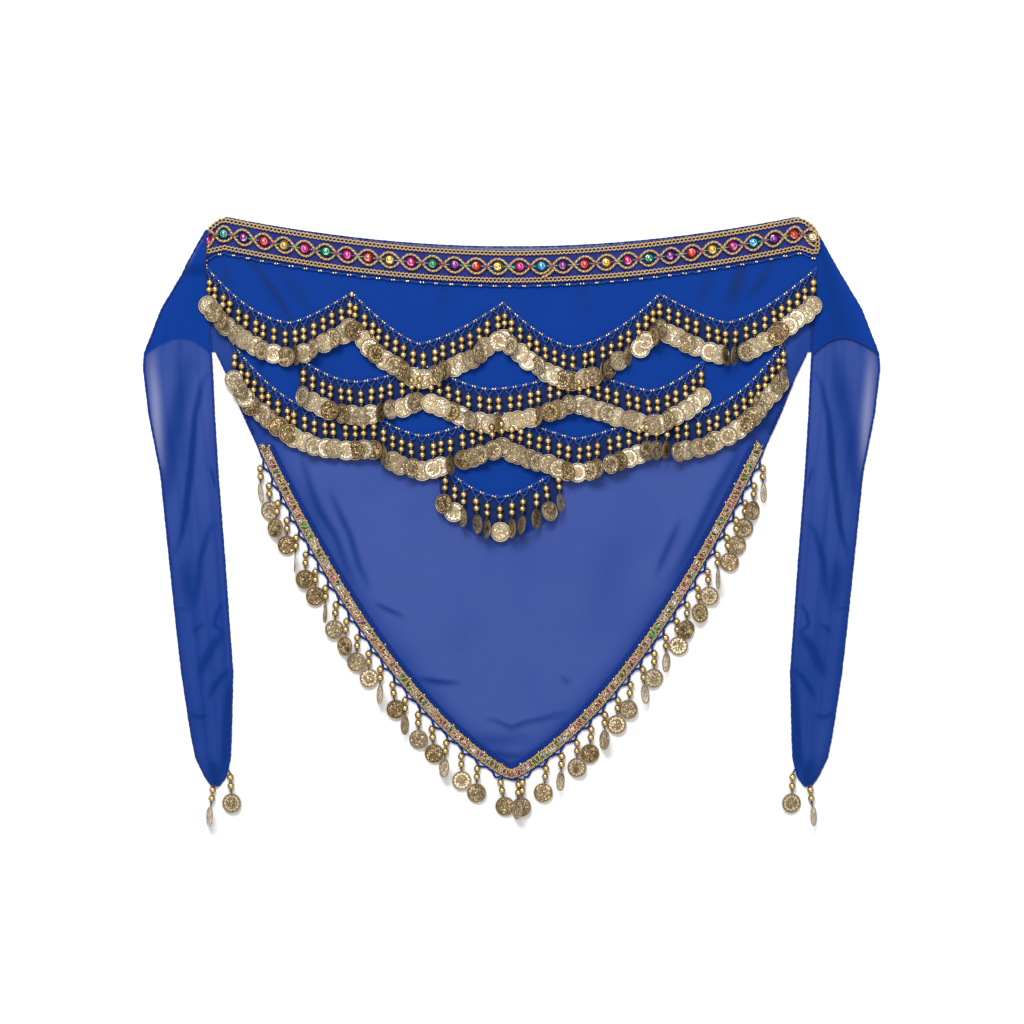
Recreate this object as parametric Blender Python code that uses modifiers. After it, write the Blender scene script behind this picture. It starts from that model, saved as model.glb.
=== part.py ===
"""Belly dance hip scarf, laid out flat with its face up.

The waist runs along X, the point of the V lies towards -Y, and the face looks up along +Z. Tables and functions
are in millimetres, and each mesh is made in metres.
"""

import math
from collections import namedtuple

import bmesh
import bpy
from mathutils import Matrix, Vector

MM = 0.001
CLOTH = 1.2  # one layer of chiffon as a wall, hems included
GAP = 0.3  # clear space between pieces that lie on each other or meet at a seam
SHARP_ANGLE = 40  # in degrees: edges sharper than this are shaded sharp
LATTICE = 8.0  # spacing of the columns that the pieces on the body share

# The waist band: its middle line, which dips at the centre of the front
BAND_LOW = 223.4
BAND_RISE = 28.7
BAND_SPAN = 250.0
BAND_CURVE = 1.85
BAND_END_DROP = 4.0
BAND_END_LENGTH = 14.0
BAND_WIDTH = 29.4
BAND_HALF_LENGTH = 262.0
CHAIN_OFFSET = 11.8
CHAIN_WIDTH = 5.2
WAIST_CORD_OFFSET = 16.8
WAIST_CORD_WIDTH = 3.0

# The cloth above the band, narrower at the ends, and its turned-down corners
TOP_MARGIN = 17.8
TOP_MARGIN_LOSS = 3.0
CORNER_START = 245.0
CORNER_LENGTH = 14.4
CORNER_DROP = 2.0

# The V: middle line of the edge braid
V_HALF_WIDTH = 218.0
V_TIP = -219.5
V_RISE = 288.5
V_STRAIGHT_SHARE = 0.45
V_TIP_ROUNDING = 0.02
BRAID_HALF_RUN = 216.0
BRAID_WIDTH = 7.5
EDGING_WIDTH = 4.0
HEM_OUTSIDE_BRAID = 4.5

# Points of the body's side edge below the tie, from the V up
SideEdge = namedtuple("SideEdge", "half_width height")
SIDE_EDGE = [SideEdge(220.0, 62.5), SideEdge(249.8, 127.3), SideEdge(262.0, 149.0)]

DRAW_IN_START = 235.0  # the body's ends are drawn in outside this half-width

# The yoke: how far its edges stay from the lines that it follows
YOKE_ABOVE_BAND = 13.0
YOKE_BELOW_TOP = 1.5
YOKE_INSIDE_REACH = 2.0
YOKE_INSIDE_BRAID = 22.0
YOKE_INSIDE_HEM = 3.0

# Coin swags: each hangs from a left end, through a lowest point, to a right end
Swag = namedtuple("Swag", "left_x left_y low_x low_y right_x right_y left_curve right_curve")
COIN_ROWS = {
    "coin_row_1": [
        Swag(-267.0, 223.6, -192.9, 174.6, -139.6, 200.8, 1.8, 1.3),
        Swag(-139.6, 200.8, -80.9, 156.2, -7.4, 192.1, 1.35, 1.45),
        Swag(-7.4, 192.1, 52.9, 153.6, 129.5, 199.6, 1.55, 1.65),
        Swag(129.5, 199.6, 187.7, 174.6, 267.0, 223.0, 1.3, 1.5),
    ],
    "coin_row_2": [
        Swag(-185.1, 143.9, -133.4, 122.9, -75.7, 136.9, 1.95, 1.25),
        Swag(-75.7, 136.9, -21.0, 116.5, 55.6, 135.2, 1.4, 1.9),
        Swag(55.6, 135.2, 120.3, 115.1, 169.3, 142.2, 1.2, 1.6),
    ],
    "coin_row_3": [
        Swag(-243.7, 157.1, -140.0, 93.0, -122.0, 95.0, 2.3, 1.5),
        Swag(-122.0, 95.0, -77.4, 75.7, -10.1, 96.7, 1.55, 1.25),
        Swag(-10.1, 96.7, 56.4, 73.1, 121.2, 94.1, 1.2, 1.3),
        Swag(121.2, 94.1, 137.0, 92.5, 240.0, 161.4, 1.5, 2.3),
    ],
    "coin_row_4": [Swag(-62.6, 51.2, -10.1, 22.3, 44.2, 49.4, 1.7, 1.55)],
}
COIN_REACH = 40.0  # from a swag's string to the lowest edge of its coins
COIN_THICKNESS = 7.0  # coins lie flat, lean and stand on edge, and this is their usual height
SEAM_IN_REACH = 0.5  # clear space where one row's coins end over the next row's string

# The edge fringe: bead, bead and coin, on the surface just outside the hem
FRINGE_OFFSET = 11.0
FRINGE_DROP = 32.2
FRINGE_HALF_WIDTH = 232.0
FRINGE_THICKNESS = 5.0
FRINGE_SEAM = 1.2  # clear space between the hem and the fringe's reach

# The ties: inner and outer edges at each height, from the waist's corner to the tip
TieSection = namedtuple("TieSection", "height inner outer")
TIE_SECTIONS = [
    TieSection(258.0, 265.0, 266.6),
    TieSection(250.0, 267.0, 271.0),
    TieSection(222.0, 267.3, 284.5),
    TieSection(186.0, 265.6, 306.0),
    TieSection(161.0, 263.8, 315.5),
    TieSection(148.0, 263.0, 320.7),
    TieSection(134.0, 262.1, 321.6),
    TieSection(94.0, 260.3, 316.8),
    TieSection(43.0, 257.2, 306.7),
    TieSection(-34.0, 251.2, 298.8),
    TieSection(-92.0, 247.2, 292.7),
    TieSection(-131.0, 244.3, 288.3),
    TieSection(-183.0, 245.5, 280.4),
    TieSection(-205.0, 246.3, 276.1),
    TieSection(-222.0, 250.0, 268.0),
    TieSection(-230.0, 256.0, 262.0),
]
TIE_STATIONS = 34
EXTENSION_LOW = 148.0
EXTENSION_ARCH = 14.0
STEP_LENGTH = 12.0  # how far a strip takes to come down off the layer under it

# Folds that stand up from the cloth: a ridge along a line, highest at its middle
Fold = namedtuple("Fold", "x0 y0 x1 y1 height spread")
PANEL_FOLDS = [
    Fold(-203, 66, -138, -56, 3.2, 12),
    Fold(203, 68, 141, -50, 3.2, 12),
    Fold(-158, 40, -92, -100, 2.2, 15),
    Fold(162, 32, 96, -92, 2.4, 14),
    Fold(-60, -165, 56, -160, 2.2, 11),
]
TIE_FOLDS = [
    Fold(276, 120, 300, -20, 3.0, 8),
    Fold(292, 60, 262, -120, 2.5, 7),
    Fold(255, 20, 272, -170, 2.2, 6),
]
FOLD_CLEARANCE = 26.0  # the panel's folds rise over this distance from the yoke and the edge braid
FLAT_BY_YOKE = 0.6  # share of that distance that stays flat
FLAT_BY_BRAID = 0.4

# Glass gems along the band
GEM_COUNT = 30
GEM_PITCH = 19.0
GEM_PITCH_LOSS = 0.003
GEM_SHIFT = -2.5
GEM_LIMIT = 260.5  # the end gems sit on the very ends of the band
GEM_RADIUS = 4.1
GEM_HEIGHT = 3.0
GEM_SIDES = 10
GEM_BEVEL = 1.2

# Bead and coin drops at the tips of the ties: place of the top bead
Drop = namedtuple("Drop", "name x y")
TIE_DROPS = [Drop("outer", 261.2, -233.6), Drop("inner", 245.6, -222.6)]
BEAD_RADIUS = 3.0
BEAD_PITCH = 7.6
COIN_RADIUS = 9.0
COIN_WALL = 1.2
COIN_FROM_BEAD = 15.4
COIN_SIDES = 20
COIN_SETBACK = 0.4  # the coin lies a little lower than the beads' middles
CORE_RADIUS = 1.0

# Heights of the layers above the surface that the scarf lies on
YOKE_Z = CLOTH + GAP
ON_YOKE_Z = YOKE_Z + CLOTH + GAP
BAND_THICKNESS = 1.5
ON_BAND_Z = ON_YOKE_Z + BAND_THICKNESS + GAP
CHAIN_THICKNESS = 1.2
BRAID_THICKNESS = 1.6

MATERIALS = {
    # name: (base colour, roughness, metallic)
    "blue_chiffon": ((0.010, 0.060, 0.300, 1.0), 0.75, 0.0),
    "navy_ribbon": ((0.006, 0.015, 0.080, 1.0), 0.60, 0.0),
    "gold_thread": ((0.560, 0.390, 0.140, 1.0), 0.45, 0.8),
    "blue_crochet": ((0.008, 0.070, 0.420, 1.0), 0.70, 0.0),
    "gold_coins": ((0.780, 0.600, 0.280, 1.0), 0.32, 1.0),
    "glass_gems": ((0.600, 0.020, 0.200, 1.0), 0.08, 0.0),
    "sequin_braid": ((0.500, 0.300, 0.200, 1.0), 0.35, 0.3),
}


def clear_scene():
    for obj in list(bpy.data.objects):
        bpy.data.objects.remove(obj, do_unlink=True)


def new_collection(name):
    collection = bpy.data.collections.new(name)
    bpy.context.scene.collection.children.link(collection)
    return collection


def new_material(name):
    colour, roughness, metallic = MATERIALS[name]
    material = bpy.data.materials.new(name)
    material.use_nodes = True
    shader = material.node_tree.nodes["Principled BSDF"]
    shader.inputs["Base Color"].default_value = colour
    shader.inputs["Roughness"].default_value = roughness
    shader.inputs["Metallic"].default_value = metallic
    material.diffuse_color = colour
    return material


# ---- lines of the cut ----


def band_middle(x):
    end = max(0.0, (abs(x) - BAND_SPAN) / BAND_END_LENGTH)
    return BAND_LOW + BAND_RISE * min(1.0, abs(x) / BAND_SPAN) ** BAND_CURVE - BAND_END_DROP * end**2


def cloth_top(x):
    margin = TOP_MARGIN - TOP_MARGIN_LOSS * abs(x) / BAND_SPAN
    corner = max(0.0, (abs(x) - CORNER_START) / CORNER_LENGTH)
    return band_middle(x) + margin - CORNER_DROP * corner**2


def v_line(x):
    """Height of the edge braid's middle line."""
    share = math.hypot(x / V_HALF_WIDTH, V_TIP_ROUNDING) - V_TIP_ROUNDING
    share /= math.hypot(1.0, V_TIP_ROUNDING) - V_TIP_ROUNDING
    return V_TIP + V_RISE * (V_STRAIGHT_SHARE * share + (1 - V_STRAIGHT_SHARE) * share**2)


def v_stretch(x):
    """How much longer the V line is there than its run along X."""
    return math.hypot(1.0, (v_line(x + 0.5) - v_line(x - 0.5)))


def between(x, low_x, low_y, high_x, high_y):
    return low_y + (high_y - low_y) * (x - low_x) / (high_x - low_x)


def body_bottom(x):
    reach = abs(x)
    if reach <= SIDE_EDGE[0].half_width:
        return v_line(x) - HEM_OUTSIDE_BRAID * v_stretch(x)
    for low, high in zip(SIDE_EDGE, SIDE_EDGE[1:]):
        if reach <= high.half_width:
            return between(reach, low.half_width, low.height, high.half_width, high.height)
    return SIDE_EDGE[-1].height


def tie_edges(height):
    """Inner and outer edge of a tie at this height."""
    for high, low in zip(TIE_SECTIONS, TIE_SECTIONS[1:]):
        if height >= low.height:
            span = (min(height, high.height), low.height, low.inner, high.height, high.inner)
            outer = (min(height, high.height), low.height, low.outer, high.height, high.outer)
            return between(*span), between(*outer)
    return TIE_SECTIONS[-1].inner, TIE_SECTIONS[-1].outer


def inside_ties(x, y):
    """The same place, with the body's ends drawn in along the inner edges of the ties."""
    widest = TIE_SECTIONS[0].inner - GAP
    limit = tie_edges(max(y, SIDE_EDGE[-1].height))[0] - GAP
    share = max(0.0, (abs(x) - DRAW_IN_START) / (widest - DRAW_IN_START))
    return x - math.copysign(share * (widest - limit), x)


def swag_line(swags, x):
    """Height of a row's string, or None beyond its ends."""
    for swag in swags:
        if swag.left_x <= x <= swag.right_x:
            if x < swag.low_x:
                share = (swag.low_x - x) / (swag.low_x - swag.left_x)
                return swag.low_y + (swag.left_y - swag.low_y) * share**swag.left_curve
            share = (x - swag.low_x) / (swag.right_x - swag.low_x)
            return swag.low_y + (swag.right_y - swag.low_y) * share**swag.right_curve
    return None


def reach_of_rows(names, x):
    """How low the coins of these rows come, or a height above them all."""
    lines = [swag_line(COIN_ROWS[name], x) for name in names]
    return min([line - COIN_REACH for line in lines if line is not None], default=cloth_top(0) + 100)


def yoke_bottom(x):
    reach = reach_of_rows(COIN_ROWS, x)
    reach = reach if reach < cloth_top(0) else -1000.0
    inside_braid = v_line(x) + YOKE_INSIDE_BRAID if abs(x) < V_HALF_WIDTH else -1000.0
    return max(reach + YOKE_INSIDE_REACH, inside_braid, body_bottom(x) + YOKE_INSIDE_HEM)


def yoke_top(x):
    return min(band_middle(x) + YOKE_ABOVE_BAND, cloth_top(x) - YOKE_BELOW_TOP)


def fold_height(folds, x, y):
    height = 0.0
    for fold in folds:
        run = Vector((fold.x1 - fold.x0, fold.y1 - fold.y0))
        start = Vector((x - fold.x0, y - fold.y0))
        share = max(0.0, min(1.0, start.dot(run) / run.length_squared))
        away = (start - run * share).length / fold.spread
        height += fold.height * math.sin(math.pi * share) ** 0.7 * math.exp(-away * away)
    return height


def smooth_step(share):
    share = max(0.0, min(1.0, share))
    return share * share * (3 - 2 * share)


# ---- builders ----


def new_object(name, mesh, material, collection):
    obj = bpy.data.objects.new(name, mesh)
    collection.objects.link(obj)
    if material is not None:
        mesh.materials.append(material)
    return obj


def sheet(name, place, across, along, thickness, material, collection):
    """A wall: a grid whose point (u, v) goes to place(u, v) in millimetres, thickened upwards."""
    shape = bmesh.new()
    bmesh.ops.create_grid(shape, x_segments=across, y_segments=along, size=0.5)
    for vert in shape.verts:
        vert.co = Vector(place(vert.co.x + 0.5, vert.co.y + 0.5)) * MM
    shape.normal_update()
    if sum(face.normal.z for face in shape.faces) < 0:
        bmesh.ops.reverse_faces(shape, faces=shape.faces)
    mesh = bpy.data.meshes.new(name)
    shape.to_mesh(mesh)
    shape.free()
    obj = new_object(name, mesh, material, collection)
    wall = obj.modifiers.new("wall", "SOLIDIFY")
    wall.thickness = thickness * MM
    wall.offset = 1.0
    mesh.shade_smooth()
    mesh.set_sharp_from_angle(angle=math.radians(SHARP_ANGLE))
    return obj


def columns(name, left, right, top, bottom, height, along, thickness, material, collection, spacing=LATTICE):
    """A wall between two lines across the body, in columns at whole multiples of the spacing."""
    first, last = math.ceil(left / spacing), math.floor(right / spacing)
    points = [left] + [i * spacing for i in range(first, last + 1) if left < i * spacing < right] + [right]
    count = len(points) - 1

    def place(u, v):
        x = points[round(u * count)]
        y = bottom(x) + (top(x) - bottom(x)) * v
        return inside_ties(x, y), y, height(x, y)

    return sheet(name, place, count, along, thickness, material, collection)


def strip_along(name, line, half_width, offset, width, height, steps, thickness, material, collection):
    """A ribbon that follows a line across the body, shifted sideways by an offset."""

    def place(u, v):
        x = -half_width + 2 * half_width * u
        slope = line(x + 0.5) - line(x - 0.5)
        side = (offset + (v - 0.5) * width) / math.hypot(1.0, slope)
        return x - slope * side, line(x) + side, height

    return sheet(name, place, steps, 1, thickness, material, collection)


# ---- pieces of cloth ----


def panel_height(x, y):
    """The panel lies flat, apart from the folds well below the yoke."""
    clear_of_yoke = (yoke_bottom(x) - y) / FOLD_CLEARANCE - FLAT_BY_YOKE
    clear_of_braid = (y - v_line(x)) / (FOLD_CLEARANCE * v_stretch(x)) - FLAT_BY_BRAID
    return fold_height(PANEL_FOLDS, x, y) * smooth_step(clear_of_yoke) * smooth_step(clear_of_braid)


def make_panels(materials, collection):
    edge = TIE_SECTIONS[0].inner - GAP
    columns(
        "main_panel", -edge, edge, cloth_top, body_bottom, panel_height, 17, CLOTH,
        materials["blue_chiffon"], collection, spacing=12.0,
    )
    columns(
        "yoke_panel", -edge, edge, yoke_top, yoke_bottom, lambda x, y: YOKE_Z, 4, CLOTH,
        materials["blue_chiffon"], collection,
    )


def make_waist(materials, collection):
    steps = 60
    strip_along(
        "waist_band", band_middle, BAND_HALF_LENGTH, 0.0, BAND_WIDTH, ON_YOKE_Z, steps, BAND_THICKNESS,
        materials["navy_ribbon"], collection,
    )
    for name, offset in (("waist_chain_top", CHAIN_OFFSET), ("waist_chain_bottom", -CHAIN_OFFSET)):
        strip_along(
            name, band_middle, BAND_HALF_LENGTH, offset, CHAIN_WIDTH, ON_BAND_Z, steps, CHAIN_THICKNESS,
            materials["gold_thread"], collection,
        )
    strip_along(
        "waist_cord", band_middle, BAND_HALF_LENGTH, -WAIST_CORD_OFFSET, WAIST_CORD_WIDTH, ON_YOKE_Z, steps,
        BAND_THICKNESS, materials["blue_crochet"], collection,
    )


def make_gems(materials, collection):
    """Round glass cabochons: a cylinder with its upper edge rounded off."""
    for i in range(GEM_COUNT):
        step = i - (GEM_COUNT - 1) / 2
        x = GEM_SHIFT + GEM_PITCH * step - GEM_PITCH_LOSS * step**3
        x = max(-GEM_LIMIT, min(GEM_LIMIT, x))
        shape = bmesh.new()
        bmesh.ops.create_cone(
            shape, cap_ends=True, segments=GEM_SIDES, radius1=GEM_RADIUS * MM, radius2=GEM_RADIUS * MM,
            depth=GEM_HEIGHT * MM,
        )
        rim = [edge for edge in shape.edges if all(vert.co.z > 0 for vert in edge.verts)]
        bmesh.ops.bevel(shape, geom=rim, offset=GEM_BEVEL * MM, segments=1, profile=0.5, affect="EDGES")
        mesh = bpy.data.meshes.new("gem")
        shape.to_mesh(mesh)
        shape.free()
        gem = new_object(f"gem_{i + 1:02d}", mesh, materials["glass_gems"], collection)
        gem.location = Vector((x, band_middle(x), ON_BAND_Z + GEM_HEIGHT / 2)) * MM


def make_coin_rows(materials, collection):
    """Each row's reach, cut back where the coins of the rows above hang over its string."""
    above = []
    for name, swags in COIN_ROWS.items():

        def top(x, swags=swags, above=tuple(above)):
            return min(swag_line(swags, x), reach_of_rows(above, x) - SEAM_IN_REACH)

        def bottom(x, swags=swags):
            return swag_line(swags, x) - COIN_REACH

        first, last = swags[0].left_x, swags[-1].right_x
        if above:
            first, last = math.ceil(first / LATTICE) * LATTICE, math.floor(last / LATTICE) * LATTICE
        columns(
            name, first, last, top, bottom, lambda x, y: ON_YOKE_Z, 1, COIN_THICKNESS,
            materials["gold_coins"], collection,
        )
        above.append(name)


def make_edge(materials, collection):
    """The sequin braid and its blue edging go round the point of the V in one length."""
    on_panel = CLOTH + GAP
    steps = 72
    strip_along(
        "edge_braid", v_line, BRAID_HALF_RUN, 0.0, BRAID_WIDTH, on_panel, steps, BRAID_THICKNESS,
        materials["sequin_braid"], collection,
    )
    strip_along(
        "edge_cord", v_line, BRAID_HALF_RUN, (BRAID_WIDTH + EDGING_WIDTH) / 2 + GAP, EDGING_WIDTH, on_panel,
        steps, BRAID_THICKNESS, materials["blue_crochet"], collection,
    )


def make_fringe(materials, collection):
    def bottom(x):
        return v_line(x) - FRINGE_OFFSET * v_stretch(x) - FRINGE_DROP

    def top(x):
        return body_bottom(x) - FRINGE_SEAM

    for name, left, right in (
        ("fringe_left", -FRINGE_HALF_WIDTH, -GAP),
        ("fringe_right", GAP, FRINGE_HALF_WIDTH),
    ):
        columns(
            name, left, right, top, bottom, lambda x, y: 0.0, 1, FRINGE_THICKNESS,
            materials["gold_coins"], collection, spacing=12.0,
        )


# ---- the ties ----


def make_tie(side, strip_on_top, materials, collection):
    """A long strip, and the extension of the waist that it is folded over or under. Side is -1 or 1."""
    name = "left" if side < 0 else "right"
    top, tip = TIE_SECTIONS[0].height, TIE_SECTIONS[-1].height

    def strip_place(u, v):
        y = tip + (top - tip) * v
        inner, outer = tie_edges(y)
        x = inner + (outer - inner) * u
        base = YOKE_Z * smooth_step((y - EXTENSION_LOW) / STEP_LENGTH + 1.5) if strip_on_top else 0.0
        clear = smooth_step((EXTENSION_LOW - 20.0 - y) / 20.0) * math.sin(math.pi * u) ** 0.5
        return side * x, y, base + fold_height(TIE_FOLDS, x, y) * clear

    def extension_place(u, v):
        low = EXTENSION_LOW + EXTENSION_ARCH * math.sin(math.pi * u) ** 0.8
        y = low + (top - low) * v
        inner, outer = tie_edges(y)
        inset = 2.0 * GAP
        x = inner + inset * (1 - v) + (outer - inner - 2 * inset * (1 - v)) * u
        return side * x, y, 0.0 if strip_on_top else YOKE_Z

    chiffon = materials["blue_chiffon"]
    sheet(f"{name}_tie_strip", strip_place, 6, TIE_STATIONS, CLOTH, chiffon, collection)
    sheet(f"{name}_tie_extension", extension_place, 6, 8, CLOTH, chiffon, collection)


def primitive(name, build, place, cutters):
    """A helper solid, kept out of the model, that a Boolean joins to another."""
    shape = bmesh.new()
    build(shape)
    bmesh.ops.transform(shape, matrix=place, verts=shape.verts)
    mesh = bpy.data.meshes.new(name)
    shape.to_mesh(mesh)
    shape.free()
    helper = new_object(name, mesh, None, cutters)
    helper.hide_render = True
    helper.display_type = "WIRE"
    return helper


def drop_mesh(cutters):
    """Two beads and a coin on one core, hanging towards -Y from the top bead's centre at the origin."""
    flat = Matrix.Rotation(math.radians(90), 4, "X")
    coin_y = -(BEAD_PITCH + COIN_FROM_BEAD)

    def bead(shape):
        bmesh.ops.create_uvsphere(shape, u_segments=8, v_segments=6, radius=BEAD_RADIUS * MM)

    def rod(radius, depth, sides):
        def build(shape):
            bmesh.ops.create_cone(
                shape, cap_ends=True, segments=sides, radius1=radius * MM, radius2=radius * MM,
                depth=depth * MM,
            )

        return build

    top_bead = primitive("drop_top_bead", bead, flat, cutters)
    core_length = BEAD_PITCH + COIN_FROM_BEAD - COIN_RADIUS * 0.5
    pieces = [
        primitive("drop_low_bead", bead, Matrix.Translation((0, -BEAD_PITCH * MM, 0)) @ flat, cutters),
        primitive(
            "drop_core", rod(CORE_RADIUS, core_length, 6),
            Matrix.Translation((0, -core_length / 2 * MM, 0)) @ flat, cutters,
        ),
        primitive(
            "drop_coin", rod(COIN_RADIUS, COIN_WALL, COIN_SIDES),
            Matrix.Translation((0, coin_y * MM, -COIN_SETBACK * MM)), cutters,
        ),
    ]
    for piece in pieces:
        joined = top_bead.modifiers.new(piece.name, "BOOLEAN")
        joined.operation = "UNION"
        joined.object = piece
    graph = bpy.context.evaluated_depsgraph_get()
    return bpy.data.meshes.new_from_object(top_bead.evaluated_get(graph))


def make_drops(materials, collection, cutters):
    mesh = drop_mesh(cutters)
    mesh.materials.clear()
    mesh.materials.append(materials["gold_coins"])
    for side, side_name in ((-1, "left"), (1, "right")):
        for drop in TIE_DROPS:
            obj = new_object(f"{side_name}_tie_drop_{drop.name}", mesh, None, collection)
            obj.location = Vector((side * drop.x, drop.y, BEAD_RADIUS)) * MM


def main():
    clear_scene()
    scarf = new_collection("belly_dance_hip_scarf")
    cutters = new_collection("cutters")
    materials = {name: new_material(name) for name in MATERIALS}
    make_panels(materials, scarf)
    make_waist(materials, scarf)
    make_gems(materials, scarf)
    make_coin_rows(materials, scarf)
    make_edge(materials, scarf)
    make_fringe(materials, scarf)
    make_tie(-1, True, materials, scarf)
    make_tie(1, False, materials, scarf)
    make_drops(materials, scarf, cutters)


main()
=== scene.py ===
import math
from collections import namedtuple

import bmesh
import bpy
import numpy as np
from mathutils import Matrix, Vector


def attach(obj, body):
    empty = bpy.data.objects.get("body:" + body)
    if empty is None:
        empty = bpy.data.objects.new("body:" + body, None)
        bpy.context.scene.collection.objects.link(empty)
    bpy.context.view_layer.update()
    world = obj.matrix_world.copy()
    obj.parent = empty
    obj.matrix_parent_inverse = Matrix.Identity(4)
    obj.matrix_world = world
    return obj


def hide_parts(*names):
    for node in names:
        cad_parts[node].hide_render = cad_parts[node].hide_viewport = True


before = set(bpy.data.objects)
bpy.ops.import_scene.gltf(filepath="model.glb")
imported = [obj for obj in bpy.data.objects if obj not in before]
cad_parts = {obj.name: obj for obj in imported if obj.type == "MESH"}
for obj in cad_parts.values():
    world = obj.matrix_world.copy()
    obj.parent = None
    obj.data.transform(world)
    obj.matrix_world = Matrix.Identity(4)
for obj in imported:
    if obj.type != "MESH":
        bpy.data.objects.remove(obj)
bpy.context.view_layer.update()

MM = 0.001
chance = np.random.default_rng(41)

# ---- the cut, in millimetres, as the frame has it ----

BAND_WIDTH = 29.4
CHAIN_OFFSET = 11.8
WAIST_CORD_OFFSET = 16.8
PANEL_HALF_WIDTH = 267.0
BRAID_HALF_RUN = 216.0
EDGING_OFFSET = 6.0
HEM_OUTSIDE_BRAID = 4.5
SIDE_EDGE = [(220.0, 62.5), (249.8, 127.3), (262.0, 149.0)]
DRAW_IN_START = 235.0
COIN_REACH = 40.0
GEM_COUNT = 30
GEM_RADIUS = 4.3
GIRDLE = 1.2  # the straight side of a stone
GEM_STEPS = [  # how far each step of the dome goes in, and up
    (0.55, 0.85), (0.7, 0.55), (0.5, 0.15), (0.35, -0.3), (0.5, 0.25), (0.5, 0.2), (0.4, 0.05),
]
EXTENSION_LOW = 148.0
EXTENSION_ARCH = 14.0
STEP_LENGTH = 12.0

Swag = namedtuple("Swag", "left_x left_y low_x low_y right_x right_y left_curve right_curve")
COIN_ROWS = {
    "coin_row_1": [
        Swag(-267.0, 223.6, -192.9, 174.6, -139.6, 200.8, 1.8, 1.3),
        Swag(-139.6, 200.8, -80.9, 156.2, -7.4, 192.1, 1.35, 1.45),
        Swag(-7.4, 192.1, 52.9, 153.6, 129.5, 199.6, 1.55, 1.65),
        Swag(129.5, 199.6, 187.7, 174.6, 267.0, 223.0, 1.3, 1.5),
    ],
    "coin_row_2": [
        Swag(-185.1, 143.9, -133.4, 122.9, -75.7, 136.9, 1.95, 1.25),
        Swag(-75.7, 136.9, -21.0, 116.5, 55.6, 135.2, 1.4, 1.9),
        Swag(55.6, 135.2, 120.3, 115.1, 169.3, 142.2, 1.2, 1.6),
    ],
    "coin_row_3": [
        Swag(-243.7, 157.1, -140.0, 93.0, -122.0, 95.0, 2.3, 1.5),
        Swag(-122.0, 95.0, -77.4, 75.7, -10.1, 96.7, 1.55, 1.25),
        Swag(-10.1, 96.7, 56.4, 73.1, 121.2, 94.1, 1.2, 1.3),
        Swag(121.2, 94.1, 137.0, 92.5, 240.0, 161.4, 1.5, 2.3),
    ],
    "coin_row_4": [Swag(-62.6, 51.2, -10.1, 22.3, 44.2, 49.4, 1.7, 1.55)],
}
TIE_SECTIONS = [  # height, inner edge, outer edge, from the tip up
    (-230, 256, 262), (-222, 250, 268), (-205, 246.3, 276.1), (-183, 245.5, 280.4), (-131, 244.3, 288.3),
    (-92, 247.2, 292.7), (-34, 251.2, 298.8), (43, 257.2, 306.7), (94, 260.3, 316.8), (134, 262.1, 321.6),
    (148, 263, 320.7), (161, 263.8, 315.5), (186, 265.6, 306), (222, 267.3, 284.5), (248, 266.8, 270.2),
    (255, 264.8, 266.0),
]

# Heights of the layers, in millimetres
PANEL_Z = 0.5
YOKE_Z = 2.0
RIBBON_Z = 3.3
ON_RIBBON_Z = 4.9
ON_YOKE_Z = 2.5


def smooth_step(share):
    share = np.clip(share, 0.0, 1.0)
    return share * share * (3 - 2 * share)


def band_middle(x):
    end = np.maximum(0.0, (np.abs(x) - 250.0) / 14.0)
    return 223.4 + 28.7 * np.minimum(1.0, np.abs(x) / 250.0) ** 1.85 - 4.0 * end**2


def cloth_top(x):
    corner = np.maximum(0.0, (np.abs(x) - 245.0) / 14.4)
    return band_middle(x) + 17.8 - 3.0 * np.abs(x) / 250.0 - 2.0 * corner**2


def v_line(x):
    """Height of the edge braid's middle line."""
    share = (np.hypot(x / 218.0, 0.02) - 0.02) / (math.hypot(1.0, 0.02) - 0.02)
    return -219.5 + 288.5 * (0.45 * share + 0.55 * share**2)


def v_stretch(x):
    return np.hypot(1.0, v_line(x + 0.5) - v_line(x - 0.5))


def body_bottom(x):
    reach = np.abs(x)
    widths, heights = zip(*SIDE_EDGE)
    return np.where(
        reach <= widths[0], v_line(x) - HEM_OUTSIDE_BRAID * v_stretch(x), np.interp(reach, widths, heights)
    )


def tie_edges(height):
    heights, inner, outer = zip(*TIE_SECTIONS)
    return np.interp(height, heights, inner), np.interp(height, heights, outer)


def inside_ties(x, y):
    """The same places, with the body's ends drawn in along the inner edges of the ties."""
    limit = tie_edges(np.maximum(y, SIDE_EDGE[-1][1]))[0] - 0.3
    share = np.maximum(0.0, (np.abs(x) - DRAW_IN_START) / (PANEL_HALF_WIDTH - DRAW_IN_START))
    return x - np.sign(x) * share * (PANEL_HALF_WIDTH - limit)


def swag_line(swags, x):
    """Height of a row's string; not a number beyond its ends."""
    x = np.asarray(x, float)
    height = np.full(x.shape, np.nan)
    for swag in swags:
        here = (x >= swag.left_x) & (x <= swag.right_x)
        left = np.clip((swag.low_x - x) / (swag.low_x - swag.left_x), 0, None)
        right = np.clip((x - swag.low_x) / (swag.right_x - swag.low_x), 0, None)
        rise = np.where(
            x < swag.low_x,
            (swag.left_y - swag.low_y) * left**swag.left_curve,
            (swag.right_y - swag.low_y) * right**swag.right_curve,
        )
        height = np.where(here, swag.low_y + rise, height)
    return height


def yoke_bottom(x):
    reaches = np.array([swag_line(swags, x) - COIN_REACH for swags in COIN_ROWS.values()])
    reach = np.nanmin(np.where(np.isnan(reaches), 1000.0, reaches), axis=0)
    reach = np.where(reach > 900, -1000.0, reach)
    inside_braid = np.where(np.abs(x) < 218.0, v_line(x) + 22.0, -1000.0)
    return np.maximum.reduce([reach + 2.0, inside_braid, body_bottom(x) + 3.0])


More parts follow.
